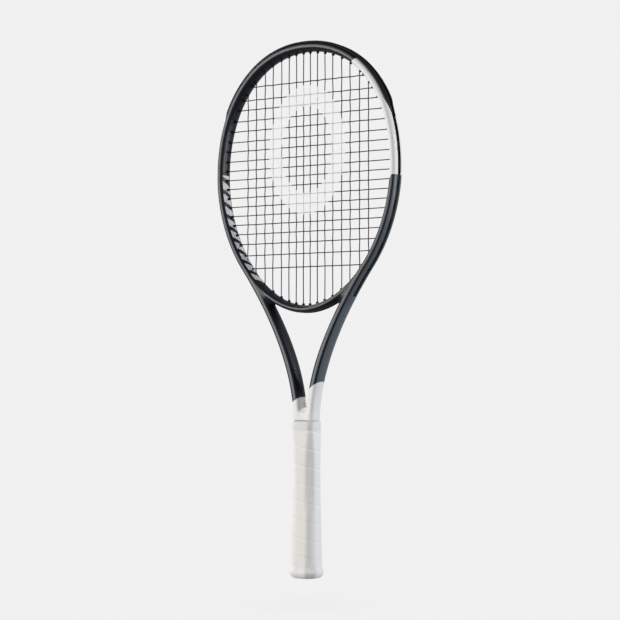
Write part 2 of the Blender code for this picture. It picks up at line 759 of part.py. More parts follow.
def build_pallets():
    """Two moulded handle shells, front and back, that close round the shafts."""
    recess_x = HANDLE_SHAFT_X + HANDLE_SHAFT_HALF_WIDTH + 0.35 * MM
    recess_y = HANDLE_SHAFT_HALF_DEPTH + 0.35 * MM
    bevel = 3.2 * MM
    split = GAP / 2
    hollow = [(-recess_x, split), (-recess_x, recess_y - bevel), (-recess_x + bevel, recess_y),
              (recess_x - bevel, recess_y), (recess_x, recess_y - bevel), (recess_x, split)]
    levels = [(CAP_RIM_Z + 1.5 * MM, PALLET_FOOT_INSET), (CAP_HEIGHT + GAP, PALLET_FOOT_INSET),
              (CAP_HEIGHT + 3 * GAP, PALLET_INSET), (GRIP_TAPER_Z, PALLET_INSET),
              (PALLET_TOP_Z, PALLET_INSET + GRIP_TAPER)]
    for side, name in ((-1, "pallet_front"), (1, "pallet_back")):
        rings = []
        for z, inset in levels:
            outside = [(x, y) for x, y, _ in grip_octagon(inset, z)[:4]]
            half_x = outside[0][0]
            shell = [(half_x, split)] + outside + [(-half_x, split)]
            rings.append([(x, side * y, z) for x, y in shell + hollow])
        pallet = loft(name, rings, "foam")
        for hand in (-1, 1):
            combine(pallet, staple(f"{name}_staple_slot", hand, GAP), "DIFFERENCE")


def build_grip():
    """The wrapped strip as one sleeve, from the cap's rim to under the collar."""
    shoulder = COLLAR_FOOT_Z - GAP
    heights = [z * MM for z, _ in FLARE] + [GRIP_TAPER_Z, shoulder, COLLAR_FOOT_Z + GAP, GRIP_TOP_Z]
    outer = [grip_octagon(-growth(z), z) for z in heights]
    inner = [grip_octagon(GRIP_THICK - growth(z), z) for z in heights]
    hollow_loft("grip_wrap", outer, inner, "grip_white")


def build_butt_cap():
    """The flared cup over the pallets' foot, with a rim to rest on and a window for the door."""
    step = 0.02 * MM
    outer = [grip_octagon(-g * MM, z * MM) for g, z in CAP_FOOT]
    for z in [CAP_RIM_Z + step] + [z * MM for z, _ in FLARE[1:4]] + [CAP_HEIGHT]:
        outer.append(grip_octagon(GRIP_THICK + GAP - growth(z), z))
    recess = [size + GAP for size in (DOOR_HALF_X, DOOR_HALF_Y)]
    window = [size - WINDOW_STEP for size in recess]
    seat = PALLET_FOOT_INSET - GAP
    ledge = seat + 1.2 * MM
    seat_z = CAP_RIM_Z + 1.2 * MM
    inner = [
        octagon(*recess, DOOR_BEVEL, 0),
        octagon(*recess, DOOR_BEVEL, DOOR_RECESS),
        octagon(*window, DOOR_BEVEL, DOOR_RECESS + step),
        octagon(*window, DOOR_BEVEL, CAP_FLOOR),
        grip_octagon(ledge, CAP_FLOOR + step),
        grip_octagon(ledge, seat_z),
        grip_octagon(seat, seat_z + step),
        grip_octagon(seat, CAP_HEIGHT),
    ]
    cap = hollow_loft("butt_cap", outer, inner, "cap_plastic")
    for hand in (-1, 1):
        combine(cap, staple("cap_staple_slot", hand, GAP), "DIFFERENCE")


def build_door():
    """Snap-in trap door: a plate inside the cap's rim, with two legs that grip the window."""
    foot = DOOR_RECESS - GAP - DOOR_THICK
    top = DOOR_RECESS - GAP
    door = loft("butt_cap_door", [octagon(DOOR_HALF_X, DOOR_HALF_Y, DOOR_BEVEL, foot),
                                  octagon(DOOR_HALF_X, DOOR_HALF_Y, DOOR_BEVEL, top)], "cap_plastic")
    leg_x = DOOR_HALF_X + GAP - WINDOW_STEP - DOOR_LEG_CLEARANCE
    half_y = 3.5 * MM
    for side, name in ((-1, "left_leg"), (1, "right_leg")):
        rings = []
        for z, thick in ((top - 0.5 * MM, 1.5), (CAP_FLOOR + 2 * MM, 1.5), (CAP_FLOOR + 3 * MM, 1.2)):
            inner_x = leg_x - thick * MM
            corners = ((inner_x, -half_y), (leg_x, -half_y), (leg_x, half_y), (inner_x, half_y))
            rings.append([(side * x, y, z) for x, y in corners])
        combine(door, loft(name, rings, helper=True), "UNION")


def staple(name, hand, grow=0.0):
    """A staple across the side face of the cap, or with grow the slot that clears it."""
    outer_x = STAPLE_OUTER_X + (3 * MM if grow else 0)
    crown_x = STAPLE_OUTER_X - STAPLE_WIRE - grow
    tip_x = STAPLE_OUTER_X - STAPLE_LEG - (3 * grow)
    far = STAPLE_HALF_SPAN + grow
    near = STAPLE_HALF_SPAN - STAPLE_WIRE - grow
    outline = [(outer_x, -far), (outer_x, far), (tip_x, far), (tip_x, near), (crown_x, near),
               (crown_x, -near), (tip_x, -near), (tip_x, -far)]
    half = STAPLE_WIRE / 2 + grow
    rings = [[(hand * x, y, STAPLE_Z + dz) for x, y in outline] for dz in (-half, half)]
    if grow:
        return loft(name, rings, helper=True)
    return loft(name, rings, "steel")


def build_collar_and_tape():
    """Finishing tape round the grip's tucked-in edge, and the rubber collar that covers it."""
    low, high = COLLAR_FOOT_Z + 3 * GAP, GRIP_TOP_Z + GAP
    tape_in, tape_out = GRIP_TUCK - 0.15 * MM, GRIP_TUCK - 0.45 * MM
    hollow_loft("finishing_tape", [grip_octagon(tape_out, z) for z in (low, high)],
                [grip_octagon(tape_in, z) for z in (low, high)], "tape")

    foot = COLLAR_FOOT_Z + GAP
    clear = tape_out - 0.2 * MM
    skin = clear - COLLAR_WALL
    soft = 0.4 * MM
    outer = [grip_octagon(skin + soft, foot), grip_octagon(skin, foot + soft),
             grip_octagon(skin, COLLAR_TOP_Z - soft), grip_octagon(skin + soft, COLLAR_TOP_Z)]
    inner = [grip_octagon(clear, foot), grip_octagon(clear, COLLAR_TOP_Z)]
    hollow_loft("grip_collar", outer, inner, "rubber_grey")


def main():
    for obj in list(bpy.data.objects):
        bpy.data.objects.remove(obj, do_unlink=True)
    hairpin, bridge = Line(hairpin_stations()), Line(bridge_stations())
    holes = Holes(hairpin, bridge)
    build_hairpin(holes)
    build_bridge(holes)
    build_grommets(holes, hairpin, bridge)
    build_main_string(holes)
    build_cross_string(holes)
    build_pallets()
    build_grip()
    build_butt_cap()
    build_door()
    staple("cap_staple_left", -1)
    staple("cap_staple_right", 1)
    build_collar_and_tape()


main()
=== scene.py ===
"""Looks of the tennis racket: smooth painted frame, woven strings, wound grip, light and camera.

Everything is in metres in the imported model's frame: +Z from the butt to the crown, -Y the front.
"""
import math

import bmesh
import bpy
import numpy as np
from mathutils import Matrix, Vector


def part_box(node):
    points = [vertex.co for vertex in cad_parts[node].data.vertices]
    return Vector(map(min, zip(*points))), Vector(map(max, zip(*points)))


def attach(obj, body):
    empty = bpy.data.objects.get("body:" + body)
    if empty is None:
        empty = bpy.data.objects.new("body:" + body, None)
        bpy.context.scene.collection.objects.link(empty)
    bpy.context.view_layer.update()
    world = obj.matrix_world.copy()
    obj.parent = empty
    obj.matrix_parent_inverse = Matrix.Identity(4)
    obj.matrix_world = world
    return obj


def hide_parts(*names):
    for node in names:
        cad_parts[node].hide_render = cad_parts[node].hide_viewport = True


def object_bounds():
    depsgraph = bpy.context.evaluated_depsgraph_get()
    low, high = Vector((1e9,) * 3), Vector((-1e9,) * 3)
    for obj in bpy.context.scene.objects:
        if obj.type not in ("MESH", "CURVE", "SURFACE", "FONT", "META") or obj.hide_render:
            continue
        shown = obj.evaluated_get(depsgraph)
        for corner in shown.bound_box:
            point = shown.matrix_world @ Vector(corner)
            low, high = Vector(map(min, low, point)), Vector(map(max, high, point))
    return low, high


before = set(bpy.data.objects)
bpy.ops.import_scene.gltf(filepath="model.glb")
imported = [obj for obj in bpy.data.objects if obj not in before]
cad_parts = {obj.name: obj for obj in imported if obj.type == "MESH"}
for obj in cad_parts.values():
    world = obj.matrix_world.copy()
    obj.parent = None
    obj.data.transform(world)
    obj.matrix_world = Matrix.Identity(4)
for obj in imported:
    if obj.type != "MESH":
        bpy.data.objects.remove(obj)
CAD_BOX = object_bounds()

MM = 0.001
RACKET, DOOR = "racket", "trap_door"

# Sizes from the frame
LENGTH = CAD_BOX[1].z
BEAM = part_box("frame_hairpin")[1].y  # half the frame's depth
HOOP_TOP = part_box("frame_hairpin")[1].z
COLLAR_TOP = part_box("grip_collar")[1].z
COLLAR_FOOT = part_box("grip_collar")[0].z
GRIP_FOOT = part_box("grip_wrap")[0].z
DOOR_HALF_X, DOOR_HALF_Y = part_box("butt_cap_door")[1].x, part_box("butt_cap_door")[1].y

# The hoop's line, as in the part
OVAL_CENTRE_Z = 516.6 * MM
OVAL_HALF_WIDTH = 130 * MM
OVAL_RISE = 161 * MM
OVAL_DROP = 175.9 * MM
UPPER_POWER, LOWER_POWER = 2.15, 1.89
HOOP_HALF = 5.4 * MM
SHAFT_HALF = 6.5 * MM
BRIDGE_HALF = 4.8 * MM
BRIDGE_END_X = 76 * MM
JUNCTION_Z = 395.2 * MM
THROAT_PULL_TOP, THROAT_PULL_FOOT = 61.5 * MM, 71 * MM
SHAFT_X = 9.5 * MM
THROAT_FOOT_Z = COLLAR_TOP + 0.6 * MM
NOTCH_Z = 220 * MM  # the web's ridge, halfway through the frame

# The frame's skin
CELL = 1.08 * MM  # grid that the skin is sampled on
THROAT_FILLET = 9 * MM
INNER_FILLET = 1.5 * MM
NOTCH_FILLET = 3 * MM
EDGE_ROUND = 1.5 * MM
WEB_HALF = 10 * MM  # half width of the web between the shafts
NECK_HALF_X, NECK_HALF_Y = 11 * MM, 8.2 * MM  # under the collar
CROWN_WAY = (0.984, 0.178)  # slope of the section's outer face, out and through
BEVEL_WAY = (0.805, 0.593)
BEVEL_OUT, BEVEL_SHARE = 0.86 * MM, 0.7  # where the bevel starts, out and in the depth

GROOVE_HALF = 3.2 * MM
GROOVE_DEPTH = 3.0 * MM
BRIDGE_GROOVE_DEPTH = 2.4 * MM
GROOVE_END_Z = 357 * MM
BRIDGE_GROOVE_END_X = 57 * MM

STRING_R = 0.65 * MM
MAIN_X = [x * MM for x in (5.0, 16.0, 27.0, 38.8, 51.8, 64.3, 78.0, 91.0)]
CROSS_Z = [
    z * MM
    for z in (633.9, 616.8, 604.3, 590.1, 576.8, 563.0, 550.6, 537.6, 525.1, 513.1,
              501.2, 489.2, 477.2, 465.2, 453.2, 440.8, 427.5, 412.6, 395.4)
]
BRIDGE_MAINS = 5
BARREL_R = 1.9 * MM
BARREL_STICKS_OUT = 2.8 * MM
LAST_CROSSES_STICK_OUT = 0.8 * MM
LANE = 1.45 * MM
STRIP_THICK = 0.8 * MM
STRIP_GAP = 0.25 * MM  # between a strip and the groove's floor
LOOP_HEIGHT = STRIP_THICK + STRIP_GAP + STRING_R
LOOP_START = 3.6 * MM  # from a hole to where its loop lies level
TAIL_SHIFT = 0.6  # share of the lane that a tied end is moved by
MAIN_WAVE = 0.4 * MM
CROSS_WAVE = 2 * STRING_R - MAIN_WAVE
CORNER_CUT_HEIGHT = 0.75  # share of a lone control point's height that corner cutting keeps

BUMPER_END_Z, BUMPER_FULL_Z = 577 * MM, 602 * MM
BUMPER_HALF = 8.4 * MM
BUMPER_LIFT = 0.12 * MM  # between the guard and the frame's skin
LOFT_STEP = 1.5 * MM
BARREL_SIDES, KNOT_SIDES = 18, 14

GRIP_HALF_X, GRIP_HALF_Y, BEVEL = 16.7 * MM, 15.5 * MM, 8.0 * MM
GRIP_TAPER, GRIP_TAPER_Z = 0.7 * MM, 150 * MM
WRAP_PITCH = 22.9 * MM
GRIP_STEP = 0.5 * MM
GRIP_TOP = COLLAR_FOOT + 1.2 * MM
GRIP_THICK = 1.8 * MM
GRIP_SIDES, CAP_SIDES, DOOR_SIDES = 120, 96, 80
WRAP_RISE = 0.4 * MM  # how far each turn of the strip stands over the next
SEAM = 0.11  # share of a turn over which the overlap falls back
BEVEL_AT_COLLAR = 4.6 * MM
DOOR_BEVEL = 4.5 * MM
EDGE_REACH = 3.4 * MM
# Height and growth of the grip's flare, in millimetres
FLARE = [(8.4, 4.0), (11.0, 3.0), (15.5, 1.9), (23.0, 0.8), (33.0, 0.15), (45.0, 0.0)]

# Looks
NIGHT = (0.010, 0.013, 0.019)
SLATE = (0.100, 0.118, 0.138)
# Grey of the painted highlight line on the frame's front and back flats
FLAT_HIGHLIGHT_GREY = (0.095, 0.10, 0.108)
WHITE_PAINT = (0.775, 0.78, 0.785)
PALE_MARK = (0.62, 0.63, 0.64)
BACKDROP_GREY = 0.875  # linear value of the floor and the backdrop
WHITE_START = (79.9 * MM, 659.1 * MM)  # x and z where the right limb's white begins
WHITE_SLANT = -0.35
WHITE_END_Z = 505 * MM
WHITE_CORNER = 6 * MM  # how much lower the white ends on the inner side
SHAFT_WHITE_Z, SHAFT_WHITE_RISE = 232.6 * MM, 0.69  # edge of the white above the grip, on X = 0
SOFT = 0.35 * MM  # half width of a painted edge
BARS_TOP_Z, BARS_FOOT_Z = 520 * MM, 376 * MM
BAR_PITCH, BAR_SLANT = 17 * MM, 0.55
MARK_Z = 546 * MM
MARK_HALF_X, MARK_HALF_Z = 58 * MM, 84 * MM
MARK_BAND = 0.34  # share of the ring's radius that is painted

# Stage, light and camera
FLOOR_HALF = 60.0
FLOOR_Z = -35 * MM  # clear of the trap door when it is pulled out
SHADOW_START, SHADOW_FULL, SHADOW_SHARE = 110 * MM, 36 * MM, 0.02
AMBIENT = 0.26
TARGET = Vector((0, 0, LENGTH / 2))
CAMERA_AZIMUTH, CAMERA_ELEVATION, CAMERA_ROLL = 32, -2.209, 0.053  # degrees
CAMERA_DISTANCE = 2.065
CAMERA_LENS = 93.79
AIM_RIGHT, AIM_DOWN = 4.12 * MM, 2.53 * MM


# Curves
def oval_point(theta):
    """Point and outward normal of the oval at a turning angle, 90 degrees at the crown."""
    c, s = math.cos(theta), math.sin(theta)
    power, height = (UPPER_POWER, OVAL_RISE) if s >= 0 else (LOWER_POWER, OVAL_DROP)
    across, along = abs(c) ** (2 / power), abs(s) ** (2 / power)
    nx = math.copysign(across ** (power - 1) / OVAL_HALF_WIDTH, c)
    nz = math.copysign(along ** (power - 1) / height, s)
    size = math.hypot(nx, nz)
    x = math.copysign(OVAL_HALF_WIDTH * across, c)
    z = OVAL_CENTRE_Z + math.copysign(height * along, s)
    return (x, z), (nx / size, nz / size)


def solve(value_at, low, high, wanted):
    """The argument between low and high where a steadily changing function has a value."""
    rising = value_at(high) > value_at(low)
    for _ in range(50):
        middle = (low + high) / 2
        if (value_at(middle) < wanted) == rising:
            low = middle
        else:
            high = middle
    return (low + high) / 2


JUNCTION_ANGLE = solve(lambda a: oval_point(a)[0][1], -math.pi / 2, 0, JUNCTION_Z)


def throat_point(t):
    """Point and outward normal of the right shaft, from the oval at 0 to the handle at 1."""
    (x0, z0), (nx, nz) = oval_point(JUNCTION_ANGLE)
    ends = ((x0, z0), (x0 + nz * THROAT_PULL_TOP, z0 - nx * THROAT_PULL_TOP),
            (SHAFT_X, THROAT_FOOT_Z + THROAT_PULL_FOOT), (SHAFT_X, THROAT_FOOT_Z))
    a, b, c, d = (1 - t) ** 3, 3 * t * (1 - t) ** 2, 3 * t * t * (1 - t), t**3
    point = tuple(a * p + b * q + c * r + d * s for p, q, r, s in zip(*ends))
    a, b, c = (1 - t) ** 2, 2 * t * (1 - t), t * t
    down = [a * (q - p) + b * (r - q) + c * (s - r) for p, q, r, s in zip(*ends)]
    size = math.hypot(*down)
    return point, (-down[1] / size, down[0] / size)


def blend(a, b, share):
    share = min(max(share, 0), 1)
    return a + (b - a) * share


class Line:
    """A line of the frame as samples: place, outward normal, half width and distance along."""

    def __init__(self, samples):
        self.point = np.array([p for p, _, _ in samples])
        self.normal = np.array([n for _, n, _ in samples])
        self.half = np.array([h for _, _, h in samples])
        steps = np.linalg.norm(np.diff(self.point, axis=0), axis=1)
        self.along = np.concatenate([[0], np.cumsum(steps)])
        self.along -= self.along[-1] / 2

    def at(self, place, out, through):
        """A point of the frame, out from the line's middle and through its depth."""
        x, z, nx, nz = self.station(place)[:4]
        return Vector((x + nx * out, through, z + nz * out))

    def station(self, place):
        values = [np.interp(place, self.along, v)
                  for v in (*self.point.T, *self.normal.T, self.half)]
        size = math.hypot(values[2], values[3])
        values[2] /= size
        values[3] /= size
        return values

    def place_of(self, x, z):
        """How far along the line a point lies, square to it."""
        gap = np.hypot(self.point[:, 0] - x, self.point[:, 1] - z)
        i = int(gap.argmin())
        ahead = (x - self.point[i, 0]) * self.normal[i, 1] - (z - self.point[i, 1]) * self.normal[i, 0]
        return float(self.along[i] + ahead)

    def height(self, x, z):
        """How far out from the line's middle a point is."""
        sx, sz, nx, nz = self.station(self.place_of(x, z))[:4]
        return (x - sx) * nx + (z - sz) * nz


def hairpin_line(hoop_steps=220, shaft_steps=110):
    right = []
    for i in range(hoop_steps + 1):
        angle = math.pi / 2 + (JUNCTION_ANGLE - math.pi / 2) * i / hoop_steps
        right.append((*oval_point(angle), HOOP_HALF))
    for i in range(1, shaft_steps + 1):
        t = i / shaft_steps
        right.append((*throat_point(t), blend(HOOP_HALF, SHAFT_HALF, t * 1.5)))
    right.append(((SHAFT_X, THROAT_FOOT_Z - 30 * MM), (1, 0), SHAFT_HALF))
    left = [((-p[0], p[1]), (-n[0], n[1]), h) for p, n, h in right[:0:-1]]
    return Line(left + right)


def bridge_line(steps=160):
    end = solve(lambda a: oval_point(a)[0][0], -math.pi / 2, 0, BRIDGE_END_X)
    angles = [end - (math.pi + 2 * end) * i / steps for i in range(steps + 1)]
    return Line([(*oval_point(a), BRIDGE_HALF) for a in angles])


HAIRPIN, BRIDGE = hairpin_line(), bridge_line()


def groove_depth(line):
    return GROOVE_DEPTH if line is HAIRPIN else BRIDGE_GROOVE_DEPTH


# Mesh making
def piece(name, vertices, faces, body=RACKET, smooth_angle=None):
    """A mesh piece that rides on a body, shaded smooth except where edges turn sharply."""
    mesh = bpy.data.meshes.new(name)
    mesh.from_pydata([tuple(v) for v in vertices], [], [tuple(f) for f in faces])
    mesh.shade_smooth()
    if smooth_angle:
        mesh.set_sharp_from_angle(angle=math.radians(smooth_angle))
    made = bpy.data.objects.new(name, mesh)
    bpy.context.scene.collection.objects.link(made)
    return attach(made, body)


def skin(rings, joined=False):
    """Vertices and faces of a tube through rings of equal count, capped or joined end to end."""
    count = len(rings[0])
    vertices = [tuple(p) for points in rings for p in points]
    faces = []
    for r in range(len(rings) - 1 + joined):
        after = (r + 1) % len(rings)
        for i in range(count):
            j = (i + 1) % count
            faces.append((r * count + i, r * count + j, after * count + j, after * count + i))
    if not joined:
        faces.append(tuple(range(count))[::-1])
        faces.append(tuple((len(rings) - 1) * count + i for i in range(count)))
    return vertices, faces


def merged(parts):
    """Several vertex and face lists as one."""
    vertices, faces = [], []
    for own_vertices, own_faces in parts:
        start = len(vertices)
        vertices += own_vertices
        faces += [tuple(i + start for i in face) for face in own_faces]
    return vertices, faces


def outward(obj):
    """Turns every face of a closed mesh outward."""
    bm = bmesh.new()
    bm.from_mesh(obj.data)
    bmesh.ops.recalc_face_normals(bm, faces=bm.faces)
    bm.to_mesh(obj.data)
    bm.free()
    return obj


# The frame as one smooth skin
def smooth_max(a, b, reach):
    h = np.maximum(reach - np.abs(a - b), 0) / reach
    return np.maximum(a, b) + h * h * reach / 4


def smooth_min(a, b, reach):
    return -smooth_max(-a, -b, reach)


def beside(line, x, z):
    """For points of the face's plane: distance outside a line's band, out from it, along it."""
    points = np.stack([x.ravel(), z.ravel()], 1)
    nearest = np.empty(len(points), int)
    squares = (line.point**2).sum(1)
    block = 4000
    for start in range(0, len(points), block):
        part = points[start:start + block]
        nearest[start:start + block] = (squares - 2 * part @ line.point.T).argmin(1)
    gap = points - line.point[nearest]
    normal = line.normal[nearest]
    out = (gap * normal).sum(1)
    ahead = gap[:, 0] * normal[:, 1] - gap[:, 1] * normal[:, 0]
    past_end = np.maximum(np.abs(ahead) - 2 * MM, 0)
    outside = np.hypot(out, past_end) - line.half[nearest]
    along = line.along[nearest] + ahead
    return [v.reshape(x.shape) for v in (outside, out, along, line.half[nearest])]


def frame_field(x, z, y):
    """The frame sampled on a grid, negative inside, and its plan's outline and distance along."""
    plan_x, plan_z = np.meshgrid(x, z, indexing="ij")
    hoop, hoop_out, along, half = beside(HAIRPIN, plan_x, plan_z)
    bridge, bridge_out, _, _ = beside(BRIDGE, plan_x, plan_z)
    under = np.clip((bridge_out + 3 * MM) / (6 * MM), 0, 1) * np.clip(-hoop_out / (3 * MM), 0, 1)
    plan = smooth_min(hoop, bridge, INNER_FILLET + (THROAT_FILLET - INNER_FILLET) * under)

    groove_end = abs(HAIRPIN.along[np.argmin(np.abs(HAIRPIN.point[:, 1] - GROOVE_END_Z))])
    hoop_groove = np.maximum(half - GROOVE_DEPTH - hoop_out, np.abs(along) - groove_end)
    bridge_groove = np.maximum(BRIDGE_HALF - BRIDGE_GROOVE_DEPTH - bridge_out,
                               np.maximum(np.abs(plan_x) - BRIDGE_GROOVE_END_X, 1 * MM - hoop))
    groove = np.minimum(hoop_groove, bridge_groove)
    neck = np.maximum(np.abs(plan_x) - NECK_HALF_X, plan_z - THROAT_FOOT_Z - 2 * MM)
    neck = np.maximum(neck, COLLAR_TOP - 3 * MM - plan_z)

    depth = np.abs(y)[None, None, :]
    roof = (plan_z - NOTCH_Z)[:, :, None] + depth
    web = np.maximum((np.abs(plan_x) - WEB_HALF)[:, :, None], np.maximum(roof, depth - BEAM))
    crown = CROWN_WAY[0] * plan[:, :, None] + CROWN_WAY[1] * (depth - GROOVE_HALF)
    bevel = BEVEL_WAY[0] * (plan[:, :, None] + BEVEL_OUT) + BEVEL_WAY[1] * (depth - BEVEL_SHARE * BEAM)
    solid = smooth_max(crown, bevel, EDGE_ROUND)
    solid = smooth_max(solid, depth - BEAM + 0 * solid, EDGE_ROUND)
    solid = smooth_min(solid, web, NOTCH_FILLET)
    solid = smooth_max(solid, depth - BEAM + 0 * solid, EDGE_ROUND)
    solid = smooth_max(solid, (COLLAR_TOP + 0.1 * MM - plan_z)[:, :, None] + 0 * solid, EDGE_ROUND)
    channel = np.maximum(groove[:, :, None], depth - GROOVE_HALF)
    solid = smooth_max(solid, -channel, 0.4 * MM)
    solid = np.minimum(solid, np.maximum(neck[:, :, None], depth - NECK_HALF_Y))
    return solid, plan, along, hoop_out


def surface_net(values, low, cell):
    """Vertices and quads through the zero level of a sampled solid, facing out."""
    inside = values < 0
    shape = np.array(values.shape)
    corners = [np.array((i, j, k)) for i in (0, 1) for j in (0, 1) for k in (0, 1)]
    count = np.zeros(shape - 1, np.int8)
    for i, j, k in corners:
        count += inside[i:shape[0] - 1 + i, j:shape[1] - 1 + j, k:shape[2] - 1 + k]
    cells = np.argwhere((count > 0) & (count < 8))
    number = np.full(shape - 1, -1)
    number[tuple(cells.T)] = np.arange(len(cells))

    total, hits = np.zeros((len(cells), 3)), np.zeros(len(cells))
    for corner in corners:
        for axis in range(3):
            if corner[axis]:
                continue
            step = np.eye(3, dtype=int)[axis]
            a = values[tuple((cells + corner).T)]
            b = values[tuple((cells + corner + step).T)]
            crosses = (a < 0) != (b < 0)
            share = np.where(crosses, a / np.where(crosses, a - b, 1), 0)
            total += crosses[:, None] * (corner + share[:, None] * step)
            hits += crosses
    vertices = low + (cells + total / hits[:, None]) * cell

    quads = []
    for axis in range(3):
        b, c = (axis + 1) % 3, (axis + 2) % 3
        first = np.take(inside, range(shape[axis] - 1), axis)
        second = np.take(inside, range(1, shape[axis]), axis)
        edges = np.argwhere(first != second)
        edges = edges[(edges[:, b] > 0) & (edges[:, c] > 0)
                      & (edges[:, b] < shape[b] - 1) & (edges[:, c] < shape[c] - 1)]
        around = []
        for db, dc in ((-1, -1), (0, -1), (0, 0), (-1, 0)):
            at = edges.copy()
            at[:, b] += db
            at[:, c] += dc
            around.append(number[tuple(at.T)])
        quad = np.stack(around, 1)
        leaving = first[tuple(edges.T)]
        quads.append(np.where(leaving[:, None], quad, quad[:, ::-1]))
    return vertices, np.concatenate(quads)


def sampled(grid, places):
    """Values of a regular grid between its points, by index coordinates."""
    base = np.clip(np.floor(places).astype(int), 0, np.array(grid.shape) - 2)
    share = places - base
    total = np.zeros(len(places))
    dims = places.shape[1]
    for corner in np.ndindex(*(2,) * dims):
        weight = np.prod([share[:, d] if corner[d] else 1 - share[:, d] for d in range(dims)], 0)
        total += weight * grid[tuple((base + corner).T)]
    return total


def build_frame():
    """Hoop, shafts and bridge with their grooves, edges rounded and corners filleted."""
    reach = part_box("frame_hairpin")[1].x + 3 * CELL
    x = np.arange(-reach, reach + CELL, CELL)
    z = np.arange(THROAT_FOOT_Z - 8 * MM, HOOP_TOP + 3 * CELL, CELL)
    y = np.arange(-BEAM - 2 * CELL, BEAM + 3 * CELL, CELL)
    solid, plan, along, out = frame_field(x, z, y)
    low = np.array((x[0], z[0], y[0]))
    vertices, quads = surface_net(solid, low, CELL)
    places = (vertices - low) / CELL
    slopes = [sampled(g, places) for g in np.gradient(solid)]
    normals = np.stack([slopes[0], slopes[2], slopes[1]], 1)
    normals /= np.linalg.norm(normals, axis=1)[:, None]
    made = piece("painted_frame", vertices[:, (0, 2, 1)], quads[:, ::-1])
    made.data.normals_split_custom_set_from_vertices([tuple(n) for n in normals])
    for name, grid in (("plan", plan), ("along", along), ("out", out)):
        layer = made.data.attributes.new(name, "FLOAT", "POINT")
        layer.data.foreach_set("value", sampled(grid, places[:, :2]).astype(np.float32))
    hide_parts("frame_hairpin", "throat_bridge")
    return made


# String holes
class Hole:
    """A string hole: its inner tip, the axis pointing out, and the line it goes through."""

    def __init__(self, tip, axis, line):
        self.x, self.z = tip
        size = math.hypot(*axis)
        self.ax, self.az = axis[0] / size, axis[1] / size
        self.line = line
        depth = groove_depth(line)

        def over_floor(distance):
            px, pz = self.x + self.ax * distance, self.z + self.az * distance
            half = line.station(line.place_of(px, pz))[4]
            return line.height(px, pz) - (half - depth)

        self.floor = solve(over_floor, 0, 30 * MM, 0)
        self.place = line.place_of(self.x + self.ax * self.floor, self.z + self.az * self.floor)

    def at(self, distance, through=0.0):
        return Vector((self.x + self.ax * distance, through, self.z + self.az * distance))


def tip_of(angle, sticks_out=BARREL_STICKS_OUT):
    (x, z), (nx, nz) = oval_point(angle)
    reach = HOOP_HALF + sticks_out
    return x - nx * reach, z - nz * reach


def bridge_hole(x):
    def inner_x(angle):
        (px, _), (nx, _) = oval_point(angle)
        return px - nx * BRIDGE_HALF

    angle = solve(inner_x, -math.pi / 2, -0.3, x)
    (_, z), (_, nz) = oval_point(angle)
    lean = -0.25 * x / MAIN_X[BRIDGE_MAINS - 1]
    return Hole((x, z - nz * BRIDGE_HALF + BARREL_STICKS_OUT), (lean, -1), BRIDGE)


def shoulder_hole(x):
    angle = solve(lambda a: tip_of(a, 0)[0], -math.pi / 2, -0.3, x)
    tip = tip_of(angle, 0)
    _, _, nx, nz, _ = HAIRPIN.station(HAIRPIN.place_of(*tip))
    return Hole(tip, (nx, nz), HAIRPIN)


def mirrored(hole):
    return Hole((-hole.x, hole.z), (-hole.ax, hole.az), hole.line)


def string_holes():
    """Holes of the mains at the crown and the foot, by number, and of the crosses by row."""
    top, foot, right = {}, {}, []
    for i, x in enumerate(MAIN_X, 1):
        angle = solve(lambda a: tip_of(a)[0], 0.1, math.pi / 2, x)
        top[i] = Hole(tip_of(angle), oval_point(angle)[1], HAIRPIN)
        foot[i] = bridge_hole(x) if i <= BRIDGE_MAINS else shoulder_hole(x)
        top[-i], foot[-i] = mirrored(top[i]), mirrored(foot[i])
    for row, z in enumerate(CROSS_Z):
        last = row >= len(CROSS_Z) - 2
        sticks_out = LAST_CROSSES_STICK_OUT if last else BARREL_STICKS_OUT
        angle = solve(lambda a: tip_of(a, sticks_out)[1], -1.2, 1.2, z)
        right.append(Hole(tip_of(angle, sticks_out), oval_point(angle)[1], HAIRPIN))
    return top, foot, right, [mirrored(h) for h in right]


# Strings
def rounded(points, rounds=2):
    """A path with its corners cut again and again."""
    for _ in range(rounds):
        cut = [points[0]]
        for a, b in zip(points, points[1:]):
            cut += [a.lerp(b, 0.25), a.lerp(b, 0.75)]
        points = cut + [points[-1]]
    return points


def out_of(hole, toward, lane):
    line, place = hole.line, hole.place
    depth = groove_depth(line)
    points = [hole.at(-0.5 * MM), hole.at(0.6 * MM), hole.at(hole.floor + 1.3 * MM)]
    for step, share in ((1.4 * MM, 0.6), (LOOP_START, 1.0)):
        half = line.station(place + toward * step)[4]
        points.append(line.at(place + toward * step, half - depth + LOOP_HEIGHT, lane * share))
    return points


def loop_between(first, second, lane):
    line = first.line
    toward = 1 if second.place > first.place else -1
    start, end = first.place + toward * LOOP_START, second.place - toward * LOOP_START
    steps = max(1, round(abs(end - start) / (4 * MM)))
    depth = groove_depth(line)
    middle = []
    for i in range(1, steps):
        place = start + (end - start) * i / steps
        middle.append(line.at(place, line.station(place)[4] - depth + LOOP_HEIGHT, lane))
    return out_of(first, toward, lane) + middle + out_of(second, -toward, lane)[::-1]


def tail_of(hole, lane):
    side = TAIL_SHIFT * lane
    return [hole.at(-0.5 * MM), hole.at(hole.floor + 1.3 * MM), hole.at(hole.floor + 2.2 * MM, side),
            hole.at(hole.floor + 3.2 * MM, side)]


def woven(points, wave):
    """A straight run's crossings, each a control point on its side, with level points between."""
    path = []
    for i, (place, side) in enumerate(points):
        if i:
            path.append(place.lerp(points[i - 1][0], 0.5))
        path.append(place + Vector((0, side * wave / CORNER_CUT_HEIGHT, 0)))
    return path


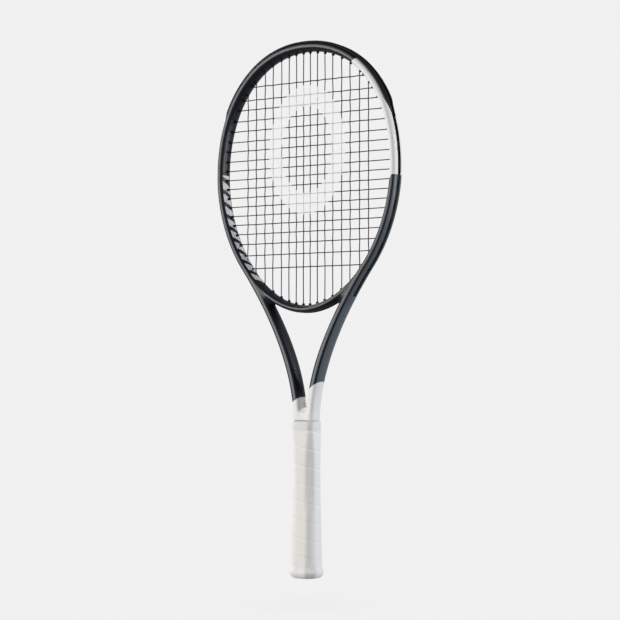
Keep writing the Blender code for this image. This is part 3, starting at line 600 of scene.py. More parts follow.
def string_piece(name, points, node):
    curve = bpy.data.curves.new(name, "CURVE")
    curve.dimensions = "3D"
    curve.bevel_depth = STRING_R
    curve.bevel_resolution = 2
    curve.use_fill_caps = True
    spline = curve.splines.new("POLY")
    spline.points.add(len(points) - 1)
    for target, p in zip(spline.points, points):
        target.co = (*p, 1)
    swept = bpy.data.objects.new(name + "_path", curve)
    bpy.context.scene.collection.objects.link(swept)
    shown = swept.evaluated_get(bpy.context.evaluated_depsgraph_get())
    mesh = bpy.data.meshes.new_from_object(shown)
    mesh.shade_smooth()
    bpy.data.objects.remove(swept)
    made = bpy.data.objects.new(name, mesh)
    bpy.context.scene.collection.objects.link(made)
    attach(made, RACKET)
    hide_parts(node)
    return made


def build_strings(top, foot, right, left):
    """Both strings in one length each, woven in contact, with their loops in the groove."""
    order = [i for i in range(-len(MAIN_X), len(MAIN_X) + 1) if i]
    xs = {i: math.copysign(MAIN_X[abs(i) - 1], i) for i in order}

    def side_of(i, row):
        return 1 if (order.index(i) + row) % 2 else -1

    path = tail_of(foot[order[0]], -LANE)[::-1]
    rising = True
    for here in order:
        run = [(Vector((xs[here], 0, z)), -side_of(here, row)) for row, z in enumerate(CROSS_Z)
               if foot[here].z + 3 * MM < z < top[here].z - 3 * MM]
        run = woven(run, MAIN_WAVE)
        path += run[::-1] if rising else run
        after = order.index(here) + 1
        if after < len(order):
            ends = top if rising else foot
            path += loop_between(ends[here], ends[order[after]], -LANE)
        rising = not rising
    path += tail_of(foot[order[-1]], -LANE)
    mains = string_piece("woven_mains", rounded(path), "main_string")

    path = tail_of(left[0], LANE)[::-1]
    for row, z in enumerate(CROSS_Z):
        reach = right[row].x - 1 * MM
        run = [(Vector((xs[i], 0, z)), side_of(i, row)) for i in order if abs(xs[i]) < reach]
        run = woven(run, CROSS_WAVE)
        rightward = row % 2 == 0
        path += run if rightward else run[::-1]
        if row + 1 < len(CROSS_Z):
            ends = right if rightward else left
            path += loop_between(ends[row], ends[row + 1], LANE)
    path += tail_of(right[-1], LANE)
    crosses = string_piece("woven_crosses", rounded(path), "cross_string")
    return mains, crosses


# Bumper guard and grommet strips
def rounded_ring(points, reach, steps=3):
    """A closed outline with each corner turned into a short curve."""
    made = []
    for before, corner, after in zip(points[-1:] + points[:-1], points, points[1:] + points[:1]):
        ends = []
        for other in (before, after):
            size = math.dist(corner, other)
            share = min(reach / size, 0.45)
            ends.append([c + (o - c) * share for c, o in zip(corner, other)])
        for i in range(steps + 1):
            t = i / steps
            made.append(tuple((1 - t) ** 2 * a + 2 * t * (1 - t) * b + t * t * c
                              for a, b, c in zip(ends[0], corner, ends[1])))
    return made


def bumper_outline(half_width, share):
    """Strip in the groove and ribbed cheeks over the frame, which share widens from none."""
    floor = half_width - GROOVE_DEPTH + STRIP_GAP
    edge = blend(GROOVE_HALF, BUMPER_HALF, share)
    drop = 0.18 * (edge - GROOVE_HALF)
    under = half_width + BUMPER_LIFT
    crest = LENGTH - OVAL_CENTRE_Z - OVAL_RISE
    top = blend(under + 0.8 * MM, crest, share)
    rib = 0.5 * MM * share
    half = [(floor, 2.8 * MM), (under, 2.8 * MM), (under - drop, edge),
            (under - drop + 0.6 * MM, edge + 0.3 * MM)]
    outer = blend(3.0 * MM, edge - 1.2 * MM, share)
    inner = 2.7 * MM
    for i, lowered in enumerate((0.3 * MM * share, 0.1 * MM * share, rib, 0, 0, rib, 0, 0)):
        half.append((top - lowered, outer + (inner - outer) * i / 7))
    half.append((floor + STRIP_THICK, 2.3 * MM))
    return half + [(u, -v) for u, v in reversed(half)]


def lofted(line, places, outline_at, reach=0.25 * MM):
    """A closed loft along a line of the frame."""
    rings = []
    for place in places:
        outline = rounded_ring(outline_at(place), reach)
        rings.append([line.at(place, out, through) for out, through in outline])
    return skin(rings)


def circle_round(hole, centre, radius, sides):
    """A ring of points round a hole's axis."""
    across = Vector((hole.az, 0, -hole.ax))
    turns = [2 * math.pi * i / sides for i in range(sides)]
    return [centre + radius * (math.cos(t) * across + math.sin(t) * Vector((0, 1, 0))) for t in turns]


def barrel(hole, outer=BARREL_R):
    """A grommet barrel, with a soft lip at its tip and an open bore."""
    end = hole.floor + 0.3 * MM + STRIP_THICK / 2
    bore = STRING_R + 0.3 * MM
    profile = [(end, outer), (1.2 * MM, outer), (0.5 * MM, outer - 0.1 * MM),
               (0.1 * MM, outer - 0.35 * MM), (0.0, outer - 0.65 * MM), (0.1 * MM, bore + 0.1 * MM),
               (0.5 * MM, bore), (end, bore)]
    rings = [circle_round(hole, hole.at(distance), radius, BARREL_SIDES) for distance, radius in profile]
    return skin(rings, joined=True)


def steps_between(start, end, step=LOFT_STEP):
    count = max(2, round(abs(end - start) / step))
    return [start + (end - start) * i / count for i in range(count + 1)]


def place_at_height(z):
    """How far from the crown along the hairpin, on the right side, a height lies."""
    right = HAIRPIN.along > 0
    return float(np.interp(-z, -HAIRPIN.point[right, 1], HAIRPIN.along[right]))


def build_grommets(top, foot, right, left):
    full, end = place_at_height(BUMPER_FULL_Z), place_at_height(BUMPER_END_Z)
    strip_end = place_at_height(GROOVE_END_Z + 2 * MM)

    def bumper_at(place):
        share = blend(0, 1, (end - abs(place)) / (end - full))
        return bumper_outline(HAIRPIN.station(place)[4], share * share * (3 - 2 * share))

    def strip_at(line, place):
        """A strip on the groove's floor; above the white field's end its walls line the groove."""
        _, z, _, _, half_width = line.station(place)
        floor = half_width - groove_depth(line) + STRIP_GAP
        high = floor + STRIP_THICK
        lip = blend(high, half_width + 0.1 * MM, (z - WHITE_END_Z) / (2 * MM))
        half = [(floor, 3.15 * MM), (lip, 3.15 * MM), (lip, 2.6 * MM), (high, 2.5 * MM)]
        return half + [(u, -v) for u, v in reversed(half)]

    in_hoop = [*top.values(), *right, *left]
    in_hoop += [hole for i, hole in foot.items() if abs(i) > BRIDGE_MAINS]
    in_bridge = [hole for i, hole in foot.items() if abs(i) <= BRIDGE_MAINS]
    made = []

    def strip(name, node, body, holes):
        obj = outward(piece(name, *merged([body] + [barrel(hole) for hole in holes]), smooth_angle=40))
        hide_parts(node)
        made.append(obj)

    strip("ribbed_bumper", "bumper_guard", lofted(HAIRPIN, steps_between(-end, end), bumper_at),
          [hole for hole in in_hoop if abs(hole.place) < end])
    for side, name in ((1, "right"), (-1, "left")):
        places = steps_between(side * (end + 0.4 * MM), side * strip_end)
        body = lofted(HAIRPIN, places, lambda place: strip_at(HAIRPIN, place))
        strip(f"grommets_{name}", f"grommet_strip_{name}", body,
              [hole for hole in in_hoop if side * hole.place > end])
    reach = max(abs(hole.place) for hole in in_bridge) + 3 * MM
    body = lofted(BRIDGE, steps_between(-reach, reach), lambda place: strip_at(BRIDGE, place))
    strip("grommets_throat", "grommet_strip_throat", body, in_bridge)
    return made


def build_knots(foot, left, right):
    """The four tie-off knots, each a lump of two turns on its side of the groove."""
    # Distance past the groove's floor and radius, in millimetres
    profile = [(1.0, 0.6), (1.3, 1.0), (1.7, 1.25), (2.1, 1.15), (2.3, 1.05), (2.5, 1.15), (2.9, 1.28),
               (3.3, 1.1), (3.6, 0.75), (3.9, 0.6), (4.2, 0.5)]
    lumps = []
    last = len(MAIN_X)
    for hole, lane in ((foot[-last], -LANE), (foot[last], -LANE), (left[0], LANE), (right[-1], LANE)):
        rings = []
        for distance, radius in profile:
            centre = hole.at(hole.floor + distance * MM, TAIL_SHIFT * lane)
            rings.append(circle_round(hole, centre, radius * MM, KNOT_SIDES))
        lumps.append(skin(rings))
    knots = outward(piece("string_knots", *merged(lumps)))
    return knots


# Handle
def octagon(half_x, half_y, bevel):
    corner = [(half_x, half_y - bevel), (half_x - bevel, half_y)]
    back = corner + [(-x, y) for x, y in reversed(corner)]
    return back + [(-x, -y) for x, y in back]


def level(outline, z):
    """A flat outline as a ring of points at a height."""
    return [(x, y, z) for x, y in outline]


def grip_growth(z):
    """How far the grip's skin lies outside its octagon at a height."""
    if z > GRIP_TAPER_Z:
        share = (z - GRIP_TAPER_Z) / (COLLAR_FOOT - GRIP_TAPER_Z)
        return -GRIP_TAPER * share - 1.2 * MM * max(share - 1, 0) * 20
    heights, growths = zip(*FLARE)
    return float(np.interp(z / MM, heights, growths)) * MM


def grip_outline(z, grow):
    """The grip's rounded octagon at a height, slimmer corners towards the collar."""
    bevel = BEVEL + (BEVEL_AT_COLLAR - BEVEL) * blend(0, 1, (z - GRIP_TAPER_Z) / (COLLAR_FOOT - GRIP_TAPER_Z))
    bevel += grow * (2 - math.sqrt(2))
    return rounded_ring(octagon(GRIP_HALF_X + grow, GRIP_HALF_Y + grow, bevel), EDGE_REACH, 4)


def spread(outline, count):
    """The outline as points at even steps round it."""
    points = np.array(outline + outline[:1])
    lengths = np.concatenate([[0], np.cumsum(np.linalg.norm(np.diff(points, axis=0), axis=1))])
    at = np.linspace(0, lengths[-1], count, endpoint=False)
    return np.stack([np.interp(at, lengths, points[:, i]) for i in (0, 1)], 1)


def build_grip():
    """The wound strip: a helical overlap every turn, drawn in under the collar at its top."""
    rings = []
    for z in steps_between(GRIP_FOOT, GRIP_TOP, GRIP_STEP):
        points = spread(grip_outline(z, grip_growth(z)), GRIP_SIDES)
        turn = np.arctan2(points[:, 1], points[:, 0]) / (2 * math.pi)
        phase = np.mod(z / WRAP_PITCH + turn, 1)
        rise = np.where(phase < 1 - SEAM, phase, (1 - phase) / SEAM * (1 - SEAM))
        outward_way = points / np.linalg.norm(points, axis=1)[:, None]
        fade = blend(0, 1, (z - GRIP_FOOT) / (3 * MM)) * blend(0, 1, (COLLAR_FOOT - z) / (2 * MM))
        points = points + outward_way * ((rise - 0.6) * WRAP_RISE * fade)[:, None]
        rings.append(level(points, z))
    for z in (GRIP_TOP, GRIP_FOOT):
        rings.append(level(spread(grip_outline(z, grip_growth(z) - GRIP_THICK), GRIP_SIDES), z))
    grip = outward(piece("wound_grip", *skin(rings, joined=True), smooth_angle=50))
    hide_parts("grip_wrap")
    return grip


def build_collar():
    """The rubber collar over the grip's end, with a soft lip top and bottom."""
    half_x, half_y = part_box("grip_collar")[1].x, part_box("grip_collar")[1].y
    profile = [(COLLAR_FOOT, -1.2), (COLLAR_FOOT, -0.5), (COLLAR_FOOT + 0.3 * MM, -0.1),
               (COLLAR_FOOT + 1.0 * MM, 0.05), (COLLAR_FOOT + 1.9 * MM, -0.12),
               (COLLAR_FOOT + 2.4 * MM, -0.12), (COLLAR_FOOT + 3.0 * MM, 0.0),
               (COLLAR_TOP - 1.6 * MM, -0.05), (COLLAR_TOP - 0.6 * MM, -0.15),
               (COLLAR_TOP - 0.15 * MM, -0.45), (COLLAR_TOP, -0.9), (COLLAR_TOP, -3.0),
               (COLLAR_TOP - 0.8 * MM, -3.2), (COLLAR_TOP - 9 * MM, -3.2),
               (COLLAR_TOP - 9.6 * MM, -1.2)]
    rings = []
    for z, grow in profile:
        grow *= MM
        outline = rounded_ring(octagon(half_x + grow, half_y + grow, BEVEL_AT_COLLAR), EDGE_REACH, 6)
        rings.append(level(outline, z))
    collar = outward(piece("rubber_collar", *skin(rings, joined=True)))
    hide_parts("grip_collar")
    return collar


def build_cap():
    """The flared butt cap: rounded foot, recess for the door and a moulded rim."""
    recess = 2.6 * MM
    hole_x, hole_y = DOOR_HALF_X + 0.3 * MM, DOOR_HALF_Y + 0.3 * MM
    # Outside from the grip's foot down round the edge: growth on every side, height
    foot = [(2.2, 8.4), (3.9, 8.4), (4.0, 7.6), (3.9, 6.4), (3.6, 5.2), (3.1, 4.0),
            (2.4, 2.7), (1.5, 1.5), (0.4, 0.6), (-0.9, 0.1), (-1.6, 0.0), (-2.2, 0.0)]
    rings = []
    for grow, z in foot:
        rings.append(level(spread(grip_outline(z * MM, grow * MM), CAP_SIDES), z * MM))
    for grow, z in ((0.7, 0.0), (0.25, 0.1), (0.0, 0.5), (0.0, recess / MM), (-2.0, recess / MM),
                    (-2.0, 3.9)):
        outline = rounded_ring(octagon(hole_x + grow * MM, hole_y + grow * MM, DOOR_BEVEL), 1.5 * MM, 4)
        rings.append(level(spread(outline, CAP_SIDES), z * MM))
    for inset, z in ((3.4, 3.9), (3.4, 32.0), (2.1, 32.0), (2.1, 12.0)):
        outline = grip_outline(z * MM, grip_growth(max(z * MM, 12 * MM)) - inset * MM)
        rings.append(level(spread(outline, CAP_SIDES), z * MM))
    cap = outward(piece("flared_cap", *skin(rings, joined=True), smooth_angle=50))
    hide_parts("butt_cap")
    return cap


def build_door():
    """The trap door: a plate with a soft rim, a moulded field of bars and two spring legs."""
    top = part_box("butt_cap")[0].z + 2.3 * MM
    rings = []
    for grow, z in ((-0.9, top / MM), (-0.15, top / MM), (0.0, top / MM - 0.15), (0.0, 0.85), (-0.35, 0.5),
                    (-1.1, 0.5), (-1.4, 0.9), (-3.0, 0.9)):
        plate = octagon(DOOR_HALF_X + grow * MM, DOOR_HALF_Y + grow * MM, DOOR_BEVEL)
        rings.append(level(spread(rounded_ring(plate, 1.5 * MM, 4), DOOR_SIDES), z * MM))
    parts = [skin(rings)]
    for i in range(-2, 3):
        half = (8.6 - 0.9 * abs(i)) * MM
        parts.append(soft_bar((0, i * 2.9 * MM, 0.85 * MM), (half, 0.75 * MM, 0.35 * MM)))
    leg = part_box("butt_cap_door")[1].z
    for side in (-1, 1):
        centre = (side * 9.55 * MM, 0, (leg + top) / 2 - 0.2 * MM)
        parts.append(soft_bar(centre, (0.75 * MM, 3.5 * MM, (leg - top) / 2 + 0.2 * MM)))
    door = outward(piece("trap_door_plate", *merged(parts), body=DOOR, smooth_angle=45))
    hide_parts("butt_cap_door")
    return door


def soft_bar(centre, half):
    """A block with rounded edges all round."""
    soft = 0.3 * min(half)
    rings = []
    for inset, z in ((soft, -half[2]), (soft * 0.3, -half[2] + soft * 0.3), (0, -half[2] + soft),
                     (0, half[2] - soft), (soft * 0.3, half[2] - soft * 0.3), (soft, half[2])):
        x, y = half[0] - inset, half[1] - inset
        outline = rounded_ring([(x, -y), (x, y), (-x, y), (-x, -y)], soft * 2, 3)
        rings.append([(centre[0] + px, centre[1] + py, centre[2] + z) for px, py in outline])
    return skin(rings)


def build_shaft_ends():
    """The two shafts' lower ends inside the handle, below the collar."""
    top, foot = COLLAR_TOP - 2.5 * MM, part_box("frame_hairpin")[0].z
    parts = []
    for side in (-1, 1):
        outer, inner = [], []
        for z in (foot, foot + 1 * MM, top):
            for rings, half_x, half_y in ((outer, 4.8, 8.4), (inner, 3.1, 6.7)):
                corners = [(half_x, -half_y), (half_x, half_y), (-half_x, half_y), (-half_x, -half_y)]
                outline = rounded_ring(corners, 2.4, 5)
                rings.append([(side * 6.4 * MM + x * MM, y * MM, z) for x, y in outline])
        parts.append(skin(outer + inner[::-1], joined=True))
    ends = outward(piece("shaft_ends", *merged(parts), smooth_angle=40))
    return ends


# Materials
class Look:
    """A material's nodes; each method adds some and gives back an output."""

    def __init__(self, name, roughness=0.4, specular=0.5, **fixed):
        self.made = bpy.data.materials.new(name)
        self.made.use_nodes = True
        self.tree = self.made.node_tree
        self.shader = self.tree.nodes["Principled BSDF"]
        self.shader.inputs["Roughness"].default_value = roughness
        self.shader.inputs["Specular IOR Level"].default_value = specular
        for socket, value in fixed.items():
            self.shader.inputs[socket.replace("_", " ")].default_value = value
        self.place = self.node("ShaderNodeTexCoord").outputs["Object"]
        self.axes = self.node("ShaderNodeSeparateXYZ", {"Vector": self.place}).outputs

    def node(self, kind, inputs=None, **settings):
        made = self.tree.nodes.new(kind)
        for name, value in settings.items():
            setattr(made, name, value)
        for name, value in (inputs or {}).items():
            self.feed(made.inputs[name], value)
        return made

    def feed(self, socket, value):
        if isinstance(value, bpy.types.NodeSocket):
            self.tree.links.new(value, socket)
        elif isinstance(value, tuple) and socket.type == "RGBA":
            socket.default_value = (*value, 1)
        else:
            socket.default_value = value

    def sum(self, operation, a, b=0.0, c=0.0):
        return self.node("ShaderNodeMath", {0: a, 1: b, 2: c}, operation=operation).outputs[0]

    def step(self, value, low, high):
        """0 below low, 1 above high, smooth between; falls where low is above high."""
        inputs = {"Value": value, "From Min": low, "From Max": high}
        return self.node("ShaderNodeMapRange", inputs, interpolation_type="SMOOTHSTEP").outputs[0]

    def both(self, *masks):
        found = masks[0]
        for mask in masks[1:]:
            found = self.sum("MULTIPLY", found, mask)
        return found

    def mix(self, share, a, b):
        made = self.node("ShaderNodeMix", data_type="RGBA")
        for index, value in ((0, share), (6, a), (7, b)):
            self.feed(made.inputs[index], value)
        return made.outputs[2]

    def tint(self, mask, share, a, b):
        """Colour a, with b over it by a share of the mask."""
        return self.mix(self.sum("MULTIPLY", mask, share), a, b)

    def noise(self, scale, detail=2.0, stretch=(1, 1, 1)):
        where = self.node("ShaderNodeMapping", {"Vector": self.place, "Scale": stretch}).outputs[0]
        inputs = {"Vector": where, "Scale": scale, "Detail": detail}
        return self.node("ShaderNodeTexNoise", inputs).outputs["Fac"]

    def cells(self, scale):
        inputs = {"Vector": self.place, "Scale": scale}
        return self.node("ShaderNodeTexVoronoi", inputs).outputs["Distance"]

    def attribute(self, name):
        return self.node("ShaderNodeAttribute", attribute_name=name).outputs["Fac"]

    def bump(self, height, depth, strength=1.0):
        before = self.shader.inputs["Normal"]
        inputs = {"Height": height, "Distance": depth, "Strength": strength}
        if before.is_linked:
            inputs["Normal"] = before.links[0].from_socket
        made = self.node("ShaderNodeBump", inputs)
        self.tree.links.new(made.outputs[0], before)

    def rough(self, value):
        self.feed(self.shader.inputs["Roughness"], value)

    def speckled(self, colour, amount, scale, detail=3.0):
        """A colour that drifts a little lighter and darker."""
        dark = tuple(c * (1 - amount) for c in colour)
        light = tuple(min(c * (1 + amount), 0.95) for c in colour)
        return self.mix(self.noise(scale, detail), dark, light)

    def finish(self, colour, *objects):
        self.feed(self.shader.inputs["Base Color"], colour)
        for obj in objects:
            obj.data.materials.clear()
            obj.data.materials.append(self.made)


def dark_field(look, y, z, out, plan):
    """Night paint that turns slate towards the throat, with a darker band on the outer side by the flat faces
    and a painted highlight line on the front and back flats.
    """
    depth = look.sum("ABSOLUTE", y)
    flake = look.step(look.noise(1400, 1), 0.4, 0.8)
    night = look.mix(flake, NIGHT, tuple(c * 1.5 for c in NIGHT))
    slate = look.mix(flake, SLATE, tuple(c * 1.15 for c in SLATE))
    outer_side = look.step(out, -2 * MM, 1.5 * MM)
    drift = look.sum("MULTIPLY_ADD", look.noise(14), -0.25, 1.0)
    dark = look.mix(look.both(look.step(z, 600 * MM, 480 * MM), outer_side, drift), night, slate)
    # Night paint on the outer side within about 2 mm of the front and back faces
    dark_edge_band = look.both(look.step(depth, BEAM - 2.0 * MM, BEAM - 1.6 * MM), outer_side)
    dark = look.mix(dark_edge_band, dark, NIGHT)
    # Painted highlight: a lighter grey line along the middle of the front and back flats, and over the broad
    # flats of the throat
    highlight_band = look.sum("MAXIMUM", look.step(look.sum("ABSOLUTE", out), 2.1 * MM, 1.6 * MM),
                       look.step(out, -6.8 * MM, -7.6 * MM))
    painted_flat_highlight = look.both(highlight_band, look.step(plan, -2.4 * MM, -2.9 * MM),
                           look.step(depth, BEAM - 0.9 * MM, BEAM - 0.5 * MM))
    return look.mix(painted_flat_highlight, dark, FLAT_HIGHLIGHT_GREY)


def white_fields(look, x, z, along, out):
    """Mask of the white on the right limb and of the white above the grip."""
    slanted = look.sum("MULTIPLY", out, WHITE_SLANT)
    began = look.sum("SUBTRACT", look.sum("ADD", along, slanted), HAIRPIN.place_of(*WHITE_START))
    corner = look.sum("MULTIPLY_ADD", look.step(out, 0.6 * MM, -3.0 * MM), WHITE_CORNER, z)
    limb = look.both(look.step(began, -SOFT, SOFT), look.step(x, 0.0, 1 * MM),
                     look.step(corner, WHITE_END_Z - SOFT, WHITE_END_Z + SOFT))
    edge = look.sum("MULTIPLY_ADD", x, SHAFT_WHITE_RISE, SHAFT_WHITE_Z)
    shafts = look.step(look.sum("SUBTRACT", edge, z), -SOFT, SOFT)
    return look.sum("MAXIMUM", limb, shafts)


def inner_bars(look, x, y, z, along, out):
    """Mask of the equal slanted bars on the inner wall of the left limb."""
    slide = look.sum("MULTIPLY_ADD", y, BAR_SLANT, along)
    turn = look.sum("FRACT", look.sum("DIVIDE", slide, BAR_PITCH))
    return look.both(look.step(turn, 0.18, 0.20), look.step(turn, 0.82, 0.80),
                     look.step(z, BARS_FOOT_Z, BARS_FOOT_Z + SOFT),
                     look.step(z, BARS_TOP_Z, BARS_TOP_Z - SOFT),
                     look.step(x, 0.0, -1 * MM), look.step(out, -HOOP_HALF * 0.5, -HOOP_HALF * 0.6),
                     look.step(y, -8.4 * MM, -8.0 * MM), look.step(y, 6.0 * MM, 5.6 * MM))


def paint_frame(*objects):
    """Satin night paint, slate towards the throat, with white fields and pale bars inside."""
    look = Look("satin_paint", specular=0.2)
    x, y, z = look.axes[0], look.axes[1], look.axes[2]
    along, out, plan = look.attribute("along"), look.attribute("out"), look.attribute("plan")
    white = look.speckled(WHITE_PAINT, 0.02, 30)
    colour = look.mix(white_fields(look, x, z, along, out), dark_field(look, y, z, out, plan), white)
    colour = look.mix(inner_bars(look, x, y, z, along, out), colour, PALE_MARK)
    scuff = look.both(look.step(look.noise(260, 4), 0.62, 0.72), look.step(plan, -0.9 * MM, -0.1 * MM))
    colour = look.tint(scuff, 0.12, colour, (0.2, 0.2, 0.2))
    look.rough(look.sum("MULTIPLY_ADD", look.noise(90, 3), 0.12, 0.27))
    look.bump(look.noise(700, 2), 0.02 * MM, 0.12)
    look.finish(colour, *objects)


def mould_nylon(*objects):
    look = Look("black_moulded_nylon", roughness=0.5, specular=0.22)
    grain = look.noise(900, 3)
    colour = look.mix(grain, (0.005, 0.005, 0.006), (0.014, 0.014, 0.015))
    worn = look.both(look.step(look.noise(120, 4), 0.6, 0.75), look.step(look.axes[2], 0.66, 0.68))
    colour = look.tint(worn, 0.3, colour, (0.05, 0.05, 0.05))
    look.rough(look.step(grain, -0.6, 1.6))
    look.bump(grain, 0.05 * MM, 0.2)
    look.finish(colour, *objects)


def colour_strings(*objects):
    """Black monofilament, with an oval ring whitened across the bed."""
    look = Look("monofilament", roughness=0.35, specular=0.16)
    x, z = look.axes[0], look.axes[2]
    across = look.sum("POWER", look.sum("ABSOLUTE", look.sum("DIVIDE", x, MARK_HALF_X)), 2.0)
    height = look.sum("DIVIDE", look.sum("SUBTRACT", z, MARK_Z), MARK_HALF_Z)
    along = look.sum("POWER", look.sum("ABSOLUTE", height), 2.0)
    radius = look.sum("SQRT", look.sum("ADD", across, along))
    ring = look.both(look.step(radius, 1.0, 0.985), look.step(radius, 1 - MARK_BAND, 1.015 - MARK_BAND))
    patchy = look.step(look.noise(500, 3), 0.15, 0.35)
    black = look.speckled((0.006, 0.006, 0.007), 0.35, 1800)
    ink = look.speckled((0.7, 0.7, 0.71), 0.06, 700)
    look.bump(look.noise(2600, 2), 0.02 * MM, 0.5)
    look.finish(look.mix(look.both(ring, patchy), black, ink), *objects)


def cover_grip(*objects):
    """Pearl-white perforated strip with a soft leathery grain; each overlap's fall gets a painted highlight
    and its foot painted shade.
    """
    look = Look("white_grip", specular=0.35, Sheen_Weight=0.15, Sheen_Roughness=0.5)
    x, y, z = look.axes[0], look.axes[1], look.axes[2]
    turn = look.sum("DIVIDE", look.sum("ARCTAN2", y, x), 2 * math.pi)
    phase = look.sum("FRACT", look.sum("ADD", look.sum("DIVIDE", z, WRAP_PITCH), turn))
    # Painted highlight on the fall of each overlap
    painted_seam_highlight = look.both(look.step(phase, 1 - SEAM * 1.4, 1 - SEAM * 0.7), look.step(phase, 1.0, 0.995))
    # Painted shade at the foot of each overlap, where the next turn starts
    painted_seam_shade = look.both(look.step(phase, 0.10, 0.0), look.step(phase, -0.01, 0.004))
    grain = look.cells(1100)
    leather = look.speckled((0.82, 0.812, 0.80), 0.03, 60)
    leather = look.tint(look.step(grain, 0.5, 0.9), 0.2, leather, (0.7, 0.69, 0.68))
    worn = look.both(look.step(look.noise(35, 4), 0.55, 0.75), look.step(z, 0.06, 0.10))
    leather = look.tint(worn, 0.1, leather, (0.62, 0.6, 0.57))
    colour = look.tint(painted_seam_shade, 0.35, leather, (0.6, 0.59, 0.58))
    colour = look.tint(painted_seam_highlight, 0.25, colour, (0.9, 0.9, 0.89))
    look.rough(look.step(look.noise(200, 2), -1.2, 1.4))
    look.bump(grain, 0.12 * MM, 0.35)
    look.bump(look.noise(220, 3), 0.2 * MM, 0.2)
    look.finish(colour, *objects)


def mould_cap(*objects):
    look = Look("cap_plastic", specular=0.4)
    grain = look.noise(1300, 3)
    colour = look.speckled((0.8, 0.805, 0.81), 0.03, 80)
    # Patchy darker grey over the cap's bottom 3 mm
    patchy_dark_foot = look.both(look.step(look.noise(160, 5), 0.58, 0.7), look.step(look.axes[2], 3 * MM, 0.5 * MM))
    colour = look.tint(patchy_dark_foot, 0.35, colour, (0.45, 0.44, 0.43))
    look.rough(look.step(grain, -0.8, 1.6))
    look.bump(grain, 0.04 * MM, 0.4)
    look.finish(colour, *objects)


def mould_collar(*objects):
    look = Look("collar_rubber", specular=0.3)
    colour = look.speckled((0.75, 0.75, 0.75), 0.03, 120)
    look.rough(look.step(look.noise(600, 2), -1.3, 1.5))
    look.bump(look.noise(1600, 3), 0.05 * MM, 0.45)
    look.finish(colour, *objects)


def foam_pallets(*objects):
    look = Look("pallet_foam", specular=0.2)
    pores = look.cells(700)
    colour = look.mix(pores, (0.5, 0.46, 0.37), (0.68, 0.64, 0.53))
    look.rough(look.step(pores, -2.0, 0.9))
    look.bump(pores, 0.2 * MM, 0.6)
    look.finish(colour, *objects)


def print_tape(*objects):
    look = Look("finishing_tape", specular=0.4)
    weave = look.noise(500, 2, (1, 1, 6))
    colour = look.mix(weave, (0.66, 0.66, 0.67), (0.8, 0.8, 0.81))
    look.rough(look.step(weave, -0.8, 1.6))
    look.bump(weave, 0.05 * MM, 0.4)
    look.finish(colour, *objects)


def draw_steel(*objects):
    look = Look("staple_steel", Metallic=1.0)
    drawn = look.noise(900, 2, (1, 0.1, 1))
    colour = look.mix(drawn, (0.42, 0.42, 0.43), (0.62, 0.62, 0.63))
    look.rough(look.step(drawn, -0.5, 2.0))
    look.bump(drawn, 0.03 * MM, 0.3)
    look.finish(colour, *objects)


# Stage, light and camera
def build_stage():
    """A pale floor that meets a backdrop of the same value, with a faint shadow under the butt."""
    world = bpy.data.worlds.new("studio")
    bpy.context.scene.world = world
    world.use_nodes = True
    tree = world.node_tree
    background = tree.nodes["Background"]
    background.inputs["Color"].default_value = (1, 1, 1, 1)
    seen = tree.nodes.new("ShaderNodeLightPath").outputs["Is Camera Ray"]
    value = tree.nodes.new("ShaderNodeMapRange")
    tree.links.new(seen, value.inputs["Value"])
    value.inputs["To Min"].default_value = AMBIENT
    value.inputs["To Max"].default_value = BACKDROP_GREY
    tree.links.new(value.outputs[0], background.inputs["Strength"])

    mesh = bpy.data.meshes.new("floor")
    turns = ((-1, -1), (1, -1), (1, 1), (-1, 1))
    corners = [(x * FLOOR_HALF, y * FLOOR_HALF, FLOOR_Z) for x, y in turns]
    mesh.from_pydata(corners, [], [(0, 1, 2, 3)])
    floor = bpy.data.objects.new("floor", mesh)
    bpy.context.scene.collection.objects.link(floor)
    look = Look("pale_floor", roughness=1.0, specular=0.0)
    distance = look.node("ShaderNodeVectorMath", {0: look.place}, operation="LENGTH").outputs["Value"]
    shadow = look.step(distance, SHADOW_START, SHADOW_FULL)
    glow = look.tint(shadow, SHADOW_SHARE, (BACKDROP_GREY,) * 3, (0.0, 0.0, 0.0))
    look.feed(look.shader.inputs["Emission Color"], glow)
    look.shader.inputs["Emission Strength"].default_value = 1.0
    look.finish((0.0, 0.0, 0.0), floor)
    floor.visible_diffuse = False
    floor.visible_glossy = False


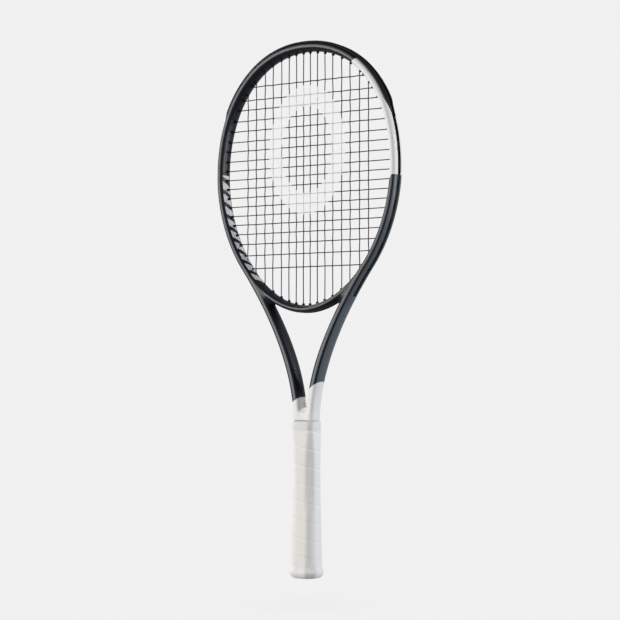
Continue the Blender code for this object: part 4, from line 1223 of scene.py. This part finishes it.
def aimed(obj, place, target, roll=0.0):
    """Places an object so that its -Z looks at the target, turned by roll about that line."""
    back = (place - target).normalized()
    right = Vector((0, 0, 1)).cross(back).normalized()
    up = back.cross(right)
    turned = right * math.cos(roll) + up * math.sin(roll)
    up = up * math.cos(roll) - right * math.sin(roll)
    obj.matrix_world = Matrix.LocRotScale(place, Matrix((turned, up, back)).transposed(), None)
    bpy.context.scene.collection.objects.link(obj)
    return obj


def around(azimuth, elevation, distance):
    """A place round the racket: azimuth 0 in front, 90 on its right."""
    a, e = math.radians(azimuth), math.radians(elevation)
    return TARGET + distance * Vector((math.sin(a) * math.cos(e), -math.cos(a) * math.cos(e), math.sin(e)))


def softbox(name, place, size, power, colour):
    light = bpy.data.lights.new(name, "AREA")
    light.shape = "RECTANGLE"
    light.size, light.size_y = size
    light.energy = power
    light.color = colour
    aimed(bpy.data.objects.new(name, light), place, TARGET)


def build_lights():
    softbox("front_left_softbox", around(-37, 8, 2.4), (0.8, 1.7), 57, (1.0, 0.97, 0.93))
    softbox("right_softbox", around(113, 6, 2.4), (0.8, 1.8), 54, (0.94, 0.97, 1.0))
    softbox("left_rim", around(-120, 25, 2.4), (0.9, 1.6), 18, (1.0, 1.0, 1.0))


def build_camera():
    place = around(CAMERA_AZIMUTH, CAMERA_ELEVATION, CAMERA_DISTANCE)
    back = (place - TARGET).normalized()
    right = Vector((0, 0, 1)).cross(back).normalized()
    up = back.cross(right)
    lens = bpy.data.cameras.new("camera")
    lens.lens, lens.sensor_width = CAMERA_LENS, 36
    lens.clip_start, lens.clip_end = 0.05, 200
    camera = aimed(bpy.data.objects.new("camera", lens), place, TARGET + right * AIM_RIGHT - up * AIM_DOWN,
                   math.radians(CAMERA_ROLL))
    bpy.context.scene.camera = camera


# The scene
def build():
    top, foot, right, left = string_holes()
    painted = build_frame()
    mains, crosses = build_strings(top, foot, right, left)
    paint_frame(painted, build_shaft_ends())
    mould_nylon(*build_grommets(top, foot, right, left))
    colour_strings(mains, crosses, build_knots(foot, left, right))
    cover_grip(build_grip())
    mould_cap(build_cap(), build_door())
    mould_collar(build_collar())
    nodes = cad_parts
    foam_pallets(nodes["pallet_front"], nodes["pallet_back"])
    print_tape(nodes["finishing_tape"])
    draw_steel(nodes["cap_staple_left"], nodes["cap_staple_right"])


build()
build_stage()
build_lights()
build_camera()
bpy.context.scene.view_settings.view_transform = "Standard"
